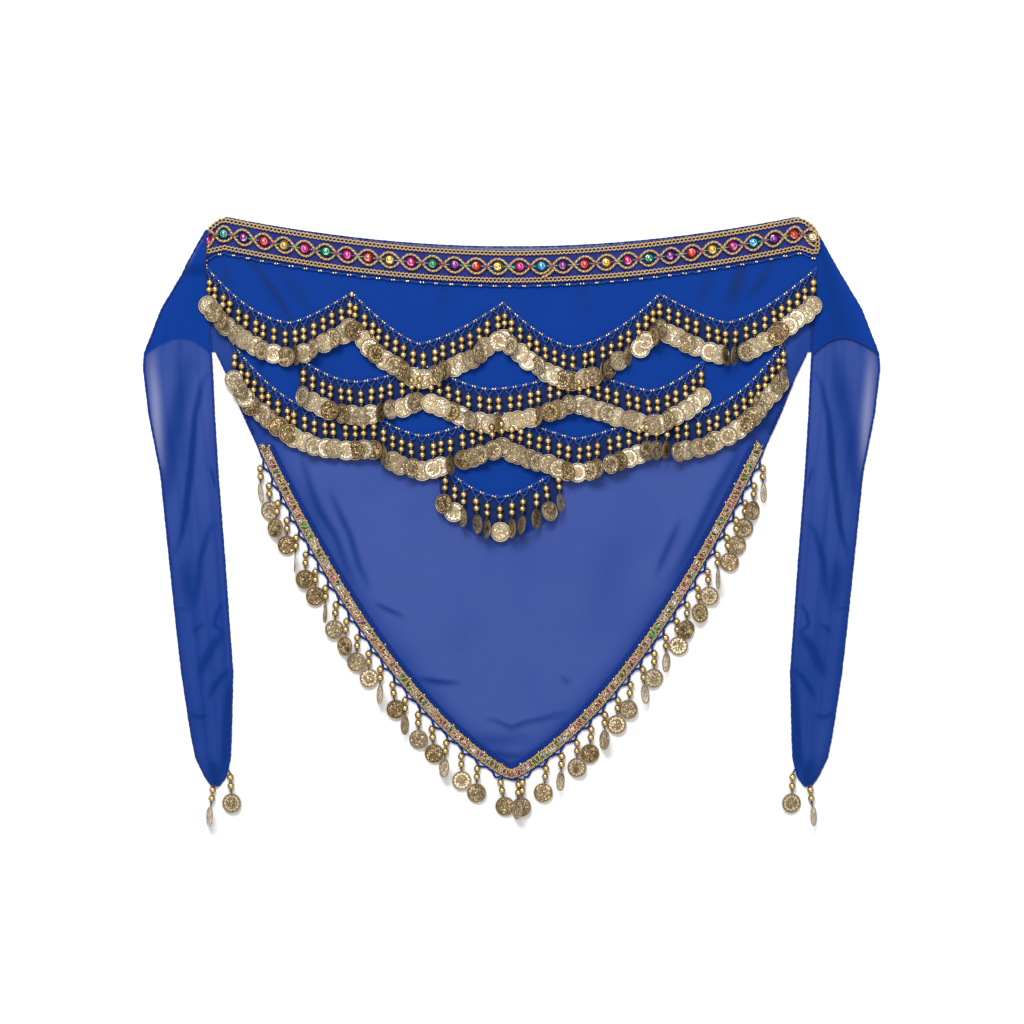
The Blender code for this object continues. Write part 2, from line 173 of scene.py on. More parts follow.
# ---- lines and where they run ----


def run_along(points):
    """How far along the line each of its points is."""
    return np.concatenate([[0], np.cumsum(np.linalg.norm(np.diff(points, axis=0), axis=1))])


def places_at(where, along, points):
    """Places on a line at given distances along it."""
    return np.stack([np.interp(where, along, points[:, k]) for k in range(points.shape[1])], axis=-1)


def evenly(points, step):
    """The same line with points about a step apart, and how far along each one is."""
    run = run_along(points)
    count = max(2, int(round(run[-1] / step)) + 1)
    along = np.linspace(0, run[-1], count)
    return places_at(along, run, points), along


def sideways(points):
    """Unit directions to the left of a line's run, on the flat."""
    run = np.gradient(points[:, :2], axis=0)
    run /= np.maximum(np.linalg.norm(run, axis=1), 1e-9)[:, None]
    return np.stack([-run[:, 1], run[:, 0]], axis=1)


def line_over(height_of, left, right, step):
    x = np.linspace(left, right, int(abs(right - left) * 4) + 2)
    return evenly(np.stack([x, height_of(x)], axis=1), step)


def at_height(points, height):
    """A flat line lifted: height is a number or one number per point."""
    return np.column_stack([points, np.broadcast_to(height, len(points))])


def shifted(points, offset, height):
    """A flat line moved sideways and lifted: offset and height are numbers or one number per point."""
    return at_height(points[:, :2] + sideways(points) * np.broadcast_to(offset, len(points))[:, None], height)


def round_it(points):
    """Unit directions along a line, to its side and away from the table."""
    run = np.gradient(points, axis=0)
    run /= np.maximum(np.linalg.norm(run, axis=1), 1e-9)[:, None]
    side = np.cross(run, (0.0, 0.0, 1.0))
    side[np.linalg.norm(side, axis=1) < 1e-3] = (1.0, 0.0, 0.0)
    side /= np.linalg.norm(side, axis=1)[:, None]
    return run, side, np.cross(side, run)


# ---- meshes ----

Part = namedtuple("Part", "points corners sizes uv tint")
CLEAR = (1.0, 1.0, 1.0, 0.5)


def deselect():
    if bpy.context.mode != "OBJECT":
        bpy.ops.object.mode_set(mode="OBJECT")
    bpy.ops.object.select_all(action="DESELECT")


def taken_apart(obj, uv_of=None):
    """The arrays of a finished shape, whose object is then removed."""
    mesh = obj.data
    points = np.zeros(len(mesh.vertices) * 3, np.float32)
    mesh.vertices.foreach_get("co", points)
    points = points.reshape(-1, 3) / MM
    corners = np.zeros(len(mesh.loops), np.int32)
    mesh.loops.foreach_get("vertex_index", corners)
    sizes = np.zeros(len(mesh.polygons), np.int32)
    mesh.polygons.foreach_get("loop_total", sizes)
    reach = np.abs(points[:, :2]).max()
    uv = (points[corners, :2] / reach) if uv_of is None else uv_of(points[corners])
    bpy.data.objects.remove(obj)
    return Part(points, corners, sizes, uv, np.tile(CLEAR, (len(points), 1)))


def copies(shape, matrices, tints=CLEAR):
    """The shape once for each 4 by 4 matrix, in one part. Tints are one colour per copy, or one for all."""
    matrices = np.asarray(matrices, float)
    count, size = len(matrices), len(shape.points)
    points = np.einsum("nij,pj->npi", matrices[:, :3, :3], shape.points) + matrices[:, None, :3, 3]
    corners = shape.corners[None] + size * np.arange(count)[:, None]
    return Part(
        points.reshape(-1, 3), corners.ravel(), np.tile(shape.sizes, count), np.tile(shape.uv, (count, 1)),
        np.repeat(np.broadcast_to(np.asarray(tints, float), (count, 4)), size, axis=0),
    )


def tube(points, radius, sides=6, tint=CLEAR):
    """A round cord round a line, with its ends closed. The UV map runs along it in millimetres."""
    _, side, up = round_it(points)
    turn = 2 * np.pi * np.arange(sides) / sides
    radius = np.broadcast_to(radius, len(points))[:, None, None]
    ring = np.cos(turn)[None, :, None] * side[:, None] + np.sin(turn)[None, :, None] * up[:, None]
    solid = (points[:, None] + radius * ring).reshape(-1, 3)
    i, j = np.meshgrid(np.arange(len(points) - 1), np.arange(sides), indexing="ij")
    k = (j + 1) % sides
    quads = np.stack([i * sides + j, (i + 1) * sides + j, (i + 1) * sides + k, i * sides + k], axis=-1)
    along = run_along(points)
    length = np.stack([along[i], along[i + 1], along[i + 1], along[i]], axis=-1)
    share_round = np.stack([j, j, j + 1, j + 1], axis=-1) / sides
    half = np.arange(sides // 2 - 1)
    cap = np.stack([half, half + 1, sides - 2 - half, sides - 1 - half], axis=1)
    far = cap[:, ::-1] + (len(points) - 1) * sides
    quads = np.concatenate([quads.reshape(-1, 4), cap, far])
    uv = np.stack([length, share_round], axis=-1).reshape(-1, 2)
    uv = np.concatenate([uv, np.zeros((8 * len(cap), 2))])
    return Part(solid, quads.ravel(), np.full(len(quads), 4), uv, np.tile(tint, (len(solid), 1)))


# One strand of a plied cord is painted darker than the other: painted shade on the twist.
STRAND_PAINTED_SHADE = [(1.0, 1.0, 1.0, 0.5), (0.58, 0.54, 0.50, 0.5), (0.8, 0.78, 0.75, 0.5)]


def plied(points, radius, strand_radius, pitch, sides=6):
    """Two strands twisted together round a line, one painted darker than the other as shade on the twist."""
    _, side, up = round_it(points)
    made = []
    for k in range(2):
        turn = 2 * np.pi * (run_along(points) / pitch + k / 2)
        round_about = np.cos(turn)[:, None] * side + np.sin(turn)[:, None] * up
        made.append(tube(points + radius * round_about, strand_radius, sides, STRAND_PAINTED_SHADE[k]))
    return made


Finish = namedtuple("Finish", "material slot")


def joined(name, parts, finish, smooth=True, replaces=()):
    """One piece from parts in millimetres, riding on the frame."""
    mesh = bpy.data.meshes.new(name)
    starts = np.cumsum([0] + [len(part.points) for part in parts])
    points = np.concatenate([part.points for part in parts])
    corners = np.concatenate([part.corners + start for part, start in zip(parts, starts)])
    sizes = np.concatenate([part.sizes for part in parts])
    mesh.vertices.add(len(points))
    mesh.vertices.foreach_set("co", (points * MM).astype(np.float32).ravel())
    mesh.loops.add(len(corners))
    mesh.loops.foreach_set("vertex_index", corners.astype(np.int32))
    mesh.polygons.add(len(sizes))
    mesh.polygons.foreach_set("loop_start", np.concatenate([[0], np.cumsum(sizes)[:-1]]).astype(np.int32))
    mesh.polygons.foreach_set("use_smooth", np.full(len(sizes), smooth))
    mesh.update(calc_edges=True)
    mesh.uv_layers.new(name="UVMap")
    uv = np.concatenate([part.uv for part in parts])
    mesh.uv_layers[0].data.foreach_set("uv", uv.astype(np.float32).ravel())
    tinted(mesh, np.concatenate([part.tint for part in parts]))
    mesh.validate()
    obj = bpy.data.objects.new(name, mesh)
    bpy.context.scene.collection.objects.link(obj)
    finished(obj, finish, replaces)


def tinted(mesh, colours):
    tint = mesh.attributes.new("tint", "FLOAT_COLOR", "POINT")
    tint.data.foreach_set("color", colours.astype(np.float32).ravel())


def finished(obj, finish, replaces=()):
    obj.data.materials.clear()
    obj.data.materials.append(finish.material)
    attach(obj, "root")
    if replaces:
        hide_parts(*replaces)


def placed(x, y, z, lean=0.0, turn=0.0, tip=0.0, spin=0.0, scale=(1, 1, 1)):
    """Where one small part goes: spun in its own plane, tipped, turned about its hanging line, then leant."""
    matrix = (
        Matrix.Translation((x, y, z)) @ Matrix.Rotation(lean, 4, "Z") @ Matrix.Rotation(turn, 4, "Y")
        @ Matrix.Rotation(tip, 4, "X") @ Matrix.Rotation(spin, 4, "Z") @ Matrix.Diagonal((*scale, 1))
    )
    return np.array(matrix)


def chosen_faces(obj, keep):
    """Leaves only those faces selected in edit mode that keep() says."""
    bpy.ops.object.mode_set(mode="EDIT")
    bpy.ops.mesh.select_mode(type="FACE")
    bpy.ops.mesh.select_all(action="DESELECT")
    shape = bmesh.from_edit_mesh(obj.data)
    for face in shape.faces:
        face.select_set(keep(face))
    bmesh.update_edit_mesh(obj.data)


# ---- small parts, each modelled once ----


def coin_shape():
    """A struck coin: raised rim and a sunk field, front and back."""
    deselect()
    bpy.ops.mesh.primitive_cylinder_add(vertices=24, radius=COIN_RADIUS * MM, depth=COIN_WALL * MM)
    obj = bpy.context.object
    for side in (1, -1):
        chosen_faces(obj, lambda face: face.normal.z * side > 0.9)
        bpy.ops.mesh.inset(thickness=0.8 * MM)
        bpy.ops.mesh.inset(thickness=0.35 * MM, depth=-0.3 * MM)
        bpy.ops.object.mode_set(mode="OBJECT")
    return taken_apart(obj)


def bead_shape(segments=10, rings=7):
    deselect()
    bpy.ops.mesh.primitive_uv_sphere_add(
        segments=segments, ring_count=rings, radius=MM, rotation=(math.pi / 2, 0, 0)
    )
    bpy.ops.object.transform_apply(location=False, rotation=True, scale=False)
    return taken_apart(bpy.context.object)


def ring_shape(radius, wire, tip):
    """A small ring of gold wire, tipped forward."""
    deselect()
    bpy.ops.mesh.primitive_torus_add(
        major_segments=8, minor_segments=4, major_radius=radius * MM, minor_radius=wire * MM,
        rotation=(tip, 0, 0),
    )
    bpy.ops.object.transform_apply(location=False, rotation=True, scale=False)
    return taken_apart(bpy.context.object)


def bugle_shape():
    """A glass tube bead along X, with softened ends."""
    deselect()
    bpy.ops.mesh.primitive_cylinder_add(vertices=8, radius=MM, depth=2 * MM, rotation=(0, math.pi / 2, 0))
    bpy.ops.object.transform_apply(location=False, rotation=True, scale=False)
    obj = bpy.context.object
    chosen_faces(obj, lambda face: abs(face.normal.x) > 0.9)
    bpy.ops.mesh.inset(thickness=0.3 * MM, depth=0.12 * MM)
    bpy.ops.object.mode_set(mode="OBJECT")
    return taken_apart(obj)


def gem_shape():
    """A round glass stone: low dome, with a ring and a boss cut into its top."""
    deselect()
    bpy.ops.mesh.primitive_cylinder_add(
        vertices=20, radius=GEM_RADIUS * MM, depth=GIRDLE * MM, location=(0, 0, GIRDLE / 2 * MM)
    )
    bpy.ops.object.transform_apply(location=True, rotation=False, scale=False)
    obj = bpy.context.object
    chosen_faces(obj, lambda face: face.normal.z > 0.9)
    for inset, rise in GEM_STEPS:
        bpy.ops.mesh.inset(thickness=inset * MM, depth=rise * MM)
    bpy.ops.object.mode_set(mode="OBJECT")
    return taken_apart(obj)


# ---- materials ----


def add_node(tree, kind, inputs=None, **settings):
    made = tree.nodes.new(kind)
    for key, value in settings.items():
        setattr(made, key, value)
    for socket, value in (inputs or {}).items():
        if isinstance(value, bpy.types.NodeSocket):
            tree.links.new(value, made.inputs[socket])
        else:
            made.inputs[socket].default_value = value
    return made


def sum_of(tree, operation, first, second=0.0, third=None):
    inputs = {0: first, 1: second}
    if third is not None:
        inputs[2] = third
    return add_node(tree, "ShaderNodeMath", inputs, operation=operation).outputs[0]


def blend_of(tree, share, first, second, blend="MIX"):
    return add_node(
        tree, "ShaderNodeMix", {0: share, 6: first, 7: second}, data_type="RGBA", blend_type=blend
    ).outputs[2]


def ranged(tree, value, low, high, to_low=0.0, to_high=1.0):
    inputs = {"Value": value, "From Min": low, "From Max": high, "To Min": to_low, "To Max": to_high}
    return add_node(tree, "ShaderNodeMapRange", inputs).outputs[0]


def noise_of(tree, place, scale, detail=2.0, bend=0.0):
    inputs = {"Vector": place, "Scale": scale, "Detail": detail, "Distortion": bend}
    return add_node(tree, "ShaderNodeTexNoise", inputs).outputs[0]


def length_of(tree, vector):
    return add_node(tree, "ShaderNodeVectorMath", {0: vector}, operation="LENGTH").outputs["Value"]


def near(tree, value, middle, far, close):
    """1 where the value is near the middle, 0 where it is further off."""
    off = sum_of(tree, "ABSOLUTE", sum_of(tree, "SUBTRACT", value, middle))
    return ranged(tree, off, far, close)


def new_group(name, inputs, outputs):
    group = bpy.data.node_groups.new(name, "ShaderNodeTree")
    for label, kind, value in inputs:
        socket = group.interface.new_socket(label, in_out="INPUT", socket_type=kind)
        if value is not None:
            socket.default_value = value
    for label, kind in outputs:
        group.interface.new_socket(label, in_out="OUTPUT", socket_type=kind)
    return group, group.nodes.new("NodeGroupInput").outputs, group.nodes.new("NodeGroupOutput").inputs


def group_in(tree, group, **inputs):
    made = add_node(tree, "ShaderNodeGroup", node_tree=group)
    for label, value in inputs.items():
        socket = made.inputs[label.replace("_", " ")]
        if isinstance(value, bpy.types.NodeSocket):
            tree.links.new(value, socket)
        else:
            socket.default_value = value
    return made.outputs


def weave_group():
    """Warp and weft on a flat cloth, slightly uneven, and slow clouds of colour."""
    group, given, out = new_group(
        "cloth_weave",
        [("Place", "NodeSocketVector", None), ("Threads per metre", "NodeSocketFloat", 2000.0),
         ("Unevenness", "NodeSocketFloat", 0.5)],
        [("Height", "NodeSocketFloat"), ("Cloud", "NodeSocketFloat")],
    )
    waves = []
    for direction in ("X", "Y"):
        waves.append(add_node(
            group, "ShaderNodeTexWave",
            {"Vector": given["Place"], "Scale": given["Threads per metre"],
             "Distortion": given["Unevenness"], "Detail": 1.0, "Detail Scale": 0.5},
            bands_direction=direction,
        ).outputs["Fac"])
    group.links.new(sum_of(group, "MULTIPLY", waves[0], waves[1]), out["Height"])
    group.links.new(noise_of(group, given["Place"], 14.0, 3.0), out["Cloud"])
    return group


def twist_group():
    """The fine plies of a thread, slanting round a cord whose UV map runs along it in millimetres."""
    group, given, out = new_group(
        "thread_twist",
        [("Along", "NodeSocketVector", None), ("Plies per mm", "NodeSocketFloat", 1.6),
         ("Slant", "NodeSocketFloat", 2.0), ("Fuzz", "NodeSocketFloat", 0.3)],
        [("Height", "NodeSocketFloat"), ("Shade", "NodeSocketFloat")],
    )
    parts = add_node(group, "ShaderNodeSeparateXYZ", {0: given["Along"]}).outputs
    along = sum_of(group, "MULTIPLY", parts[0], given["Plies per mm"])
    turned = sum_of(group, "MULTIPLY", parts[1], given["Slant"])
    phase = sum_of(group, "MULTIPLY", sum_of(group, "ADD", along, turned), 2 * math.pi)
    wave = sum_of(group, "MULTIPLY_ADD", sum_of(group, "SINE", phase), 0.5, 0.5)
    noise = noise_of(group, given["Along"], 2.3, 3.0)
    rough = sum_of(group, "MULTIPLY", noise, given["Fuzz"])
    group.links.new(sum_of(group, "ADD", wave, rough), out["Height"])
    mottled = sum_of(group, "MULTIPLY", noise, 0.5)
    # Shade paints the plies lighter on their crests and darker in the grooves between them: painted light and
    # shade, with random mottling.
    group.links.new(sum_of(group, "MULTIPLY_ADD", wave, 0.6, mottled), out["Shade"])
    return group


def relief_group():
    """What is struck on a coin: worn grooves of no particular figure, other ones on each, some in a ring of
    dots."""
    group, given, out = new_group(
        "struck_relief",
        [("Face", "NodeSocketVector", None), ("Which", "NodeSocketFloat", 0.5)],
        [("Height", "NodeSocketFloat"), ("Hollow", "NodeSocketFloat")],
    )
    away = length_of(group, given["Face"])
    parts = add_node(group, "ShaderNodeSeparateXYZ", {0: given["Face"]}).outputs
    angle = sum_of(group, "ARCTAN2", parts[1], parts[0])
    gaps = ranged(group, sum_of(group, "SINE", sum_of(group, "MULTIPLY", angle, 13.0)), 0.5, -0.3)
    ringed = sum_of(group, "GREATER_THAN", given["Which"], 0.66)
    gaps = sum_of(group, "MULTIPLY", gaps, sum_of(group, "COMPARE", away, 0.74, 0.07))
    gaps = sum_of(group, "MULTIPLY", gaps, sum_of(group, "MULTIPLY", ringed, 0.75))
    rim = near(group, away, 0.87, 0.07, 0.03)
    moves = {k: sum_of(group, "MULTIPLY", given["Which"], far) for k, far in enumerate((37.0, 91.0, 13.0))}
    shift = add_node(group, "ShaderNodeCombineXYZ", moves).outputs[0]
    place = add_node(group, "ShaderNodeVectorMath", {0: given["Face"], 1: shift}, operation="ADD").outputs[0]
    grooves = [near(group, noise_of(group, place, scale, 0.0, 1.6), 0.5, 0.13, 0.052) for scale in (1.5, 2.8)]
    inside = sum_of(group, "LESS_THAN", away, sum_of(group, "MULTIPLY_ADD", ringed, -0.18, 0.80))
    figure = sum_of(group, "MULTIPLY", sum_of(group, "MAXIMUM", *grooves), inside)
    hollow = sum_of(group, "MAXIMUM", sum_of(group, "MAXIMUM", gaps, rim), figure)
    group.links.new(sum_of(group, "SUBTRACT", 1.0, hollow), out["Height"])
    group.links.new(hollow, out["Hollow"])
    return group


def new_material(name):
    material = bpy.data.materials.new(name)
    material.use_nodes = True
    tree = material.node_tree
    return material, tree, tree.nodes["Principled BSDF"]


def set_on(shader, **values):
    for label, value in values.items():
        shader.inputs[label.replace("_", " ")].default_value = value


def coloured(tree, shader, colour):
    tree.links.new(colour, shader.inputs["Base Color"])


def bumped(tree, shader, height, strength, distance):
    bump = add_node(tree, "ShaderNodeBump", {"Strength": strength, "Distance": distance, "Height": height})
    tree.links.new(bump.outputs[0], shader.inputs["Normal"])


def here(tree):
    return add_node(tree, "ShaderNodeTexCoord").outputs


def tint_of(tree):
    return add_node(tree, "ShaderNodeAttribute", attribute_name="tint").outputs


def chiffon(name, weave, thin, dense, see_through):
    """Sheer cloth. Its tint says how much the threads crowd, how open the weave is and how much painted shade
    it has:
    crowded threads show deeper and let less light through, and painted shade darkens it towards navy in
    creases and behind the coin rows."""
    material, tree, shader = new_material(name)
    woven = group_in(tree, weave, Place=here(tree)["Object"], Threads_per_metre=900.0, Unevenness=0.6)
    crowd = add_node(tree, "ShaderNodeSeparateColor", {0: tint_of(tree)["Color"]}).outputs
    cloud = ranged(tree, woven["Cloud"], 0.3, 0.7, -0.08, 0.08)
    dense_share = sum_of(tree, "ADD", crowd[0], cloud)
    dense_share = add_node(tree, "ShaderNodeClamp", {0: dense_share}).outputs[0]
    woven_colour = blend_of(tree, dense_share, thin, dense)
    # The tint's third part is painted shade: it darkens the cloth towards navy in creases and behind the coin
    # rows.
    coloured(tree, shader, blend_of(tree, crowd[2], woven_colour, (0.012, 0.023, 0.082, 1)))
    covers = ranged(tree, dense_share, 0.0, 1.0, 1 - see_through, 1.0)
    covers = sum_of(tree, "SUBTRACT", covers, sum_of(tree, "MULTIPLY", crowd[1], 0.4))
    tree.links.new(covers, shader.inputs["Alpha"])
    set_on(shader, Roughness=0.8, Sheen_Weight=0.04, Sheen_Roughness=0.4, Specular_IOR_Level=0.05)
    bumped(tree, shader, woven["Height"], 0.12, 0.0002)
    return material


def ribbon(name, weave):
    material, tree, shader = new_material(name)
    woven = group_in(tree, weave, Place=here(tree)["Object"], Threads_per_metre=420.0, Unevenness=1.0)
    shade = ranged(tree, sum_of(tree, "ADD", woven["Height"], woven["Cloud"]), 0.2, 1.3)
    coloured(tree, shader, blend_of(tree, shade, (0.008, 0.014, 0.11, 1), (0.021, 0.032, 0.23, 1)))
    set_on(shader, Roughness=0.62, Sheen_Weight=0.05, Specular_IOR_Level=0.12)
    bumped(tree, shader, woven["Height"], 0.4, 0.0003)
    return material


def thread(name, twist, deep, bright, lay, roughness, metallic=0.0, sheen=0.0, shine=0.5):
    """Twisted thread. Its lay is plies per mm, their slant and how fuzzy they are."""
    material, tree, shader = new_material(name)
    plies, slant, fuzz = lay
    made = group_in(tree, twist, Along=here(tree)["UV"], Plies_per_mm=plies, Slant=slant, Fuzz=fuzz)
    shade = blend_of(tree, made["Shade"], deep, bright)
    coloured(tree, shader, blend_of(tree, 1.0, shade, tint_of(tree)["Color"], "MULTIPLY"))
    set_on(shader, Roughness=roughness, Metallic=metallic, Sheen_Weight=sheen, Specular_IOR_Level=shine)
    bumped(tree, shader, made["Height"], 0.6, 0.00025)
    return material


def polished_gold(name):
    """Plated beads: small scratches, a browner tone where the plating is thin, and painted shade darkening
    them brown down their sides.
    """
    material, tree, shader = new_material(name)
    worn = noise_of(tree, here(tree)["Object"], 160.0, 3.0)
    away = length_of(tree, here(tree)["UV"])
    base = blend_of(tree, ranged(tree, worn, 0.35, 0.7), (0.64, 0.43, 0.155, 1), (0.88, 0.66, 0.31, 1))
    # Painted shade: each bead turns dark brown towards its rim as seen from above.
    base = blend_of(tree, ranged(tree, away, 0.45, 0.95), base, (0.10, 0.055, 0.018, 1))
    coloured(tree, shader, blend_of(tree, 1.0, base, tint_of(tree)["Color"], "MULTIPLY"))
    tree.links.new(ranged(tree, worn, 0.3, 0.8, 0.20, 0.12), shader.inputs["Roughness"])
    set_on(shader, Metallic=0.72)
    bumped(tree, shader, worn, 0.08, 0.0002)
    return material


def coin_gold(name, relief):
    """Stamped coins: brown in the hollows, and dark round the edge, partly the rim and partly painted shadow
    where coins overlap. The tint says how bright a coin is painted, for the light its turn catches and varied
    at random, with the brightest pale as a painted highlight, how rough it is, and its last part picks what is
    struck on it."""
    material, tree, shader = new_material(name)
    tint = tint_of(tree)
    struck = group_in(tree, relief, Face=here(tree)["UV"], Which=tint["Alpha"])
    # bright is painted light: how lit each coin is painted for its turn, with some random tone; at its top the
    # raised gold is a near-white painted highlight.
    bright, rough, _ = add_node(tree, "ShaderNodeSeparateColor", {0: tint["Color"]}).outputs
    grain = noise_of(tree, here(tree)["Object"], 420.0, 3.0)
    raised = blend_of(tree, bright, (0.72, 0.50, 0.22, 1), (1.0, 0.93, 0.75, 1))
    sunk = blend_of(tree, bright, (0.028, 0.014, 0.005, 1), (0.33, 0.22, 0.095, 1))
    worn = sum_of(tree, "MULTIPLY", struck["Hollow"], ranged(tree, grain, 0.25, 0.6, 0.7, 1.0))
    # A dark ring round the edge: partly the rim's own darker hollow, partly painted shadow where coins
    # overlap.
    edge = ranged(tree, length_of(tree, here(tree)["UV"]), 0.90, 0.985, 0.0, 0.75)
    coloured(tree, shader, blend_of(tree, edge, blend_of(tree, worn, raised, sunk), (0.13, 0.072, 0.024, 1)))
    rough = sum_of(tree, "MULTIPLY_ADD", worn, 0.15, ranged(tree, rough, 0.0, 1.0, 0.15, 0.35))
    tree.links.new(rough, shader.inputs["Roughness"])
    set_on(shader, Metallic=0.6, Specular_IOR_Level=0.4)
    bumped(tree, shader, sum_of(tree, "MULTIPLY_ADD", grain, 0.12, struck["Height"]), 0.8, 0.0006)
    return material


def foiled_glass(name):
    """Foil-backed stones: rings of lighter and deeper colour under clear glass, and a pale crescent painted as
    a reflection.
    """
    material, tree, shader = new_material(name)
    face, colour = here(tree)["UV"], tint_of(tree)["Color"]
    away = length_of(tree, face)
    rightwards = add_node(tree, "ShaderNodeSeparateXYZ", {0: face}).outputs[0]
    rings = sum_of(tree, "SINE", sum_of(tree, "MULTIPLY", away, 15.0))
    deep = blend_of(tree, 1.0, colour, (0.10, 0.07, 0.10, 1), "MULTIPLY")
    pale = blend_of(tree, 0.4, colour, (1, 1, 1, 1))
    shaded = blend_of(tree, ranged(tree, rings, -0.6, 0.3), deep, colour)
    middle = near(tree, away, 0.22, 0.09, 0.02)
    shaded = blend_of(tree, sum_of(tree, "MULTIPLY", middle, 0.7), shaded, pale)
    # A painted reflection: a pale crescent on one side of each stone.
    right_half = ranged(tree, rightwards, 0.15, 0.45)
    painted_crescent_reflection = sum_of(tree, "MULTIPLY", near(tree, away, 0.7, 0.14, 0.05), right_half)
    coloured(tree, shader, blend_of(tree, sum_of(tree, "MULTIPLY", painted_crescent_reflection, 0.85), shaded, pale))
    set_on(shader, Roughness=0.16, Metallic=0.75, Specular_IOR_Level=0.2, Coat_Weight=0.3, Coat_Roughness=0.03)
    bumped(tree, shader, noise_of(tree, here(tree)["Object"], 300.0), 0.1, 0.0003)
    return material


def small_glass(name):
    material, tree, shader = new_material(name)
    streak = noise_of(tree, here(tree)["Object"], 700.0)
    streaked = blend_of(tree, streak, (0.6, 0.6, 0.6, 1), (1, 1, 1, 1))
    coloured(tree, shader, blend_of(tree, 1.0, tint_of(tree)["Color"], streaked, "MULTIPLY"))
    set_on(shader, Roughness=0.15, Metallic=0.2, Specular_IOR_Level=0.25, Coat_Weight=0.4, Coat_Roughness=0.05)
    bumped(tree, shader, streak, 0.2, 0.0002)
    return material


def pale_floor():
    material, tree, shader = new_material("pale_floor")
    grain = noise_of(tree, here(tree)["Object"], 3.0)
    coloured(tree, shader, blend_of(tree, grain, (0.88, 0.88, 0.88, 1), (0.92, 0.92, 0.92, 1)))
    set_on(shader, Roughness=0.9, Specular_IOR_Level=0.1)
    return material


def make_finishes():
    """Each finish is a material, paired with the name of a slot of the frame."""
    weave, twist, relief = weave_group(), twist_group(), relief_group()
    glass = small_glass("small_glass_beads")
    return {
        "chiffon": Finish(
            chiffon("blue_chiffon", weave, (0.003, 0.040, 0.275, 1), (0.0022, 0.026, 0.165, 1), 0.21),
            "blue_chiffon"
        ),
        "hem": Finish(
            thread("blue_rolled_hem", twist, (0.002, 0.017, 0.13, 1), (0.005, 0.040, 0.27, 1), (1.1, 1.0, 0.9),
                   0.75, sheen=0.05, shine=0.1), "blue_chiffon"
        ),
        "ribbon": Finish(ribbon("navy_ribbon", weave), "navy_ribbon"),
        "gold_thread": Finish(
            thread("gold_thread", twist, (0.17, 0.09, 0.022, 1), (0.98, 0.71, 0.31, 1), (0.9, 1.0, 0.5),
                   0.36, metallic=0.42), "gold_thread"
        ),
        "braid_bed": Finish(
            thread("braid_bed", twist, (0.030, 0.018, 0.014, 1), (0.22, 0.13, 0.05, 1), (0.6, 4.0, 1.2),
                   0.7, metallic=0.2), "gold_thread"
        ),
        "crochet": Finish(
            thread("blue_crochet", twist, (0.006, 0.042, 0.26, 1), (0.018, 0.13, 0.70, 1), (1.3, 1.0, 0.7),
                   0.7, sheen=0.1, shine=0.2), "blue_crochet"
        ),
        "dark_crochet": Finish(
            thread("deep_blue_crochet", twist, (0.0012, 0.014, 0.12, 1), (0.006, 0.050, 0.38, 1),
                   (1.0, 1.0, 1.0), 0.75, sheen=0.05, shine=0.08), "blue_crochet"
        ),
        "beads": Finish(polished_gold("gold_beads"), "gold_coins"),
        "coins": Finish(coin_gold("gold_coins", relief), "gold_coins"),
        "gems": Finish(foiled_glass("glass_gems"), "glass_gems"),
        "glass": Finish(glass, "glass_gems"),
        "sequins": Finish(glass, "sequin_braid"),
    }


# ---- cloth ----


def laid_cloth(name, across, along, place, crowd, finish, replaces):
    """A sheet: a grid whose point (u, v) goes to place(u, v), with the crowding of its threads, the openness
    of its weave and its painted shade as a tint.
    """
    deselect()
    bpy.ops.mesh.primitive_grid_add(x_subdivisions=across, y_subdivisions=along, size=1.0)
    obj = bpy.context.object
    obj.name = obj.data.name = name
    mesh = obj.data
    flat = np.zeros(len(mesh.vertices) * 3, np.float32)
    mesh.vertices.foreach_get("co", flat)
    u, v = (flat.reshape(-1, 3)[:, :2] + 0.5).T.astype(float)
    points = np.stack(np.broadcast_arrays(*place(u, v)), axis=1)
    mesh.vertices.foreach_set("co", (points * MM).astype(np.float32).ravel())
    mesh.update()
    normals = np.zeros(len(mesh.polygons) * 3, np.float32)
    mesh.polygons.foreach_get("normal", normals)
    if normals[2::3].sum() < 0:
        mesh.flip_normals()
    mesh.shade_smooth()
    thick, open_weave, painted_shade = crowd(points[:, 0], points[:, 1])
    tinted(mesh, np.stack([thick, open_weave, painted_shade, np.ones_like(thick)], axis=1))
    finished(obj, finish, replaces)
    return obj


Crease = namedtuple("Crease", "points width depth lift")


def crease_mask(x, y, points, width):
    """How close each place is to a crease: 1 on it, fading over its width and towards its ends."""
    points = np.array(points, float)
    run = run_along(points)
    best, share = np.full(x.shape, np.inf), np.zeros(x.shape)
    for start, end, near, far in zip(points, points[1:], run, run[1:]):
        leg = end - start
        t = np.clip(((x - start[0]) * leg[0] + (y - start[1]) * leg[1]) / (leg @ leg), 0, 1)
        away = np.hypot(x - start[0] - t * leg[0], y - start[1] - t * leg[1])
        share = np.where(away < best, (near + t * (far - near)) / run[-1], share)
        best = np.minimum(best, away)
    return np.exp(-((best / width) ** 2)) * np.sin(np.pi * np.clip(share, 0.02, 0.98)) ** 0.6


def creased(creases, x, y):
    """Height and crowding that the creases add."""
    height, thick = np.zeros(x.shape), np.zeros(x.shape)
    for crease in creases:
        height += crease.lift * crease_mask(x, y, crease.points, crease.width * 1.8)
        thick += crease.depth * crease_mask(x, y, crease.points, crease.width)
    return height, thick


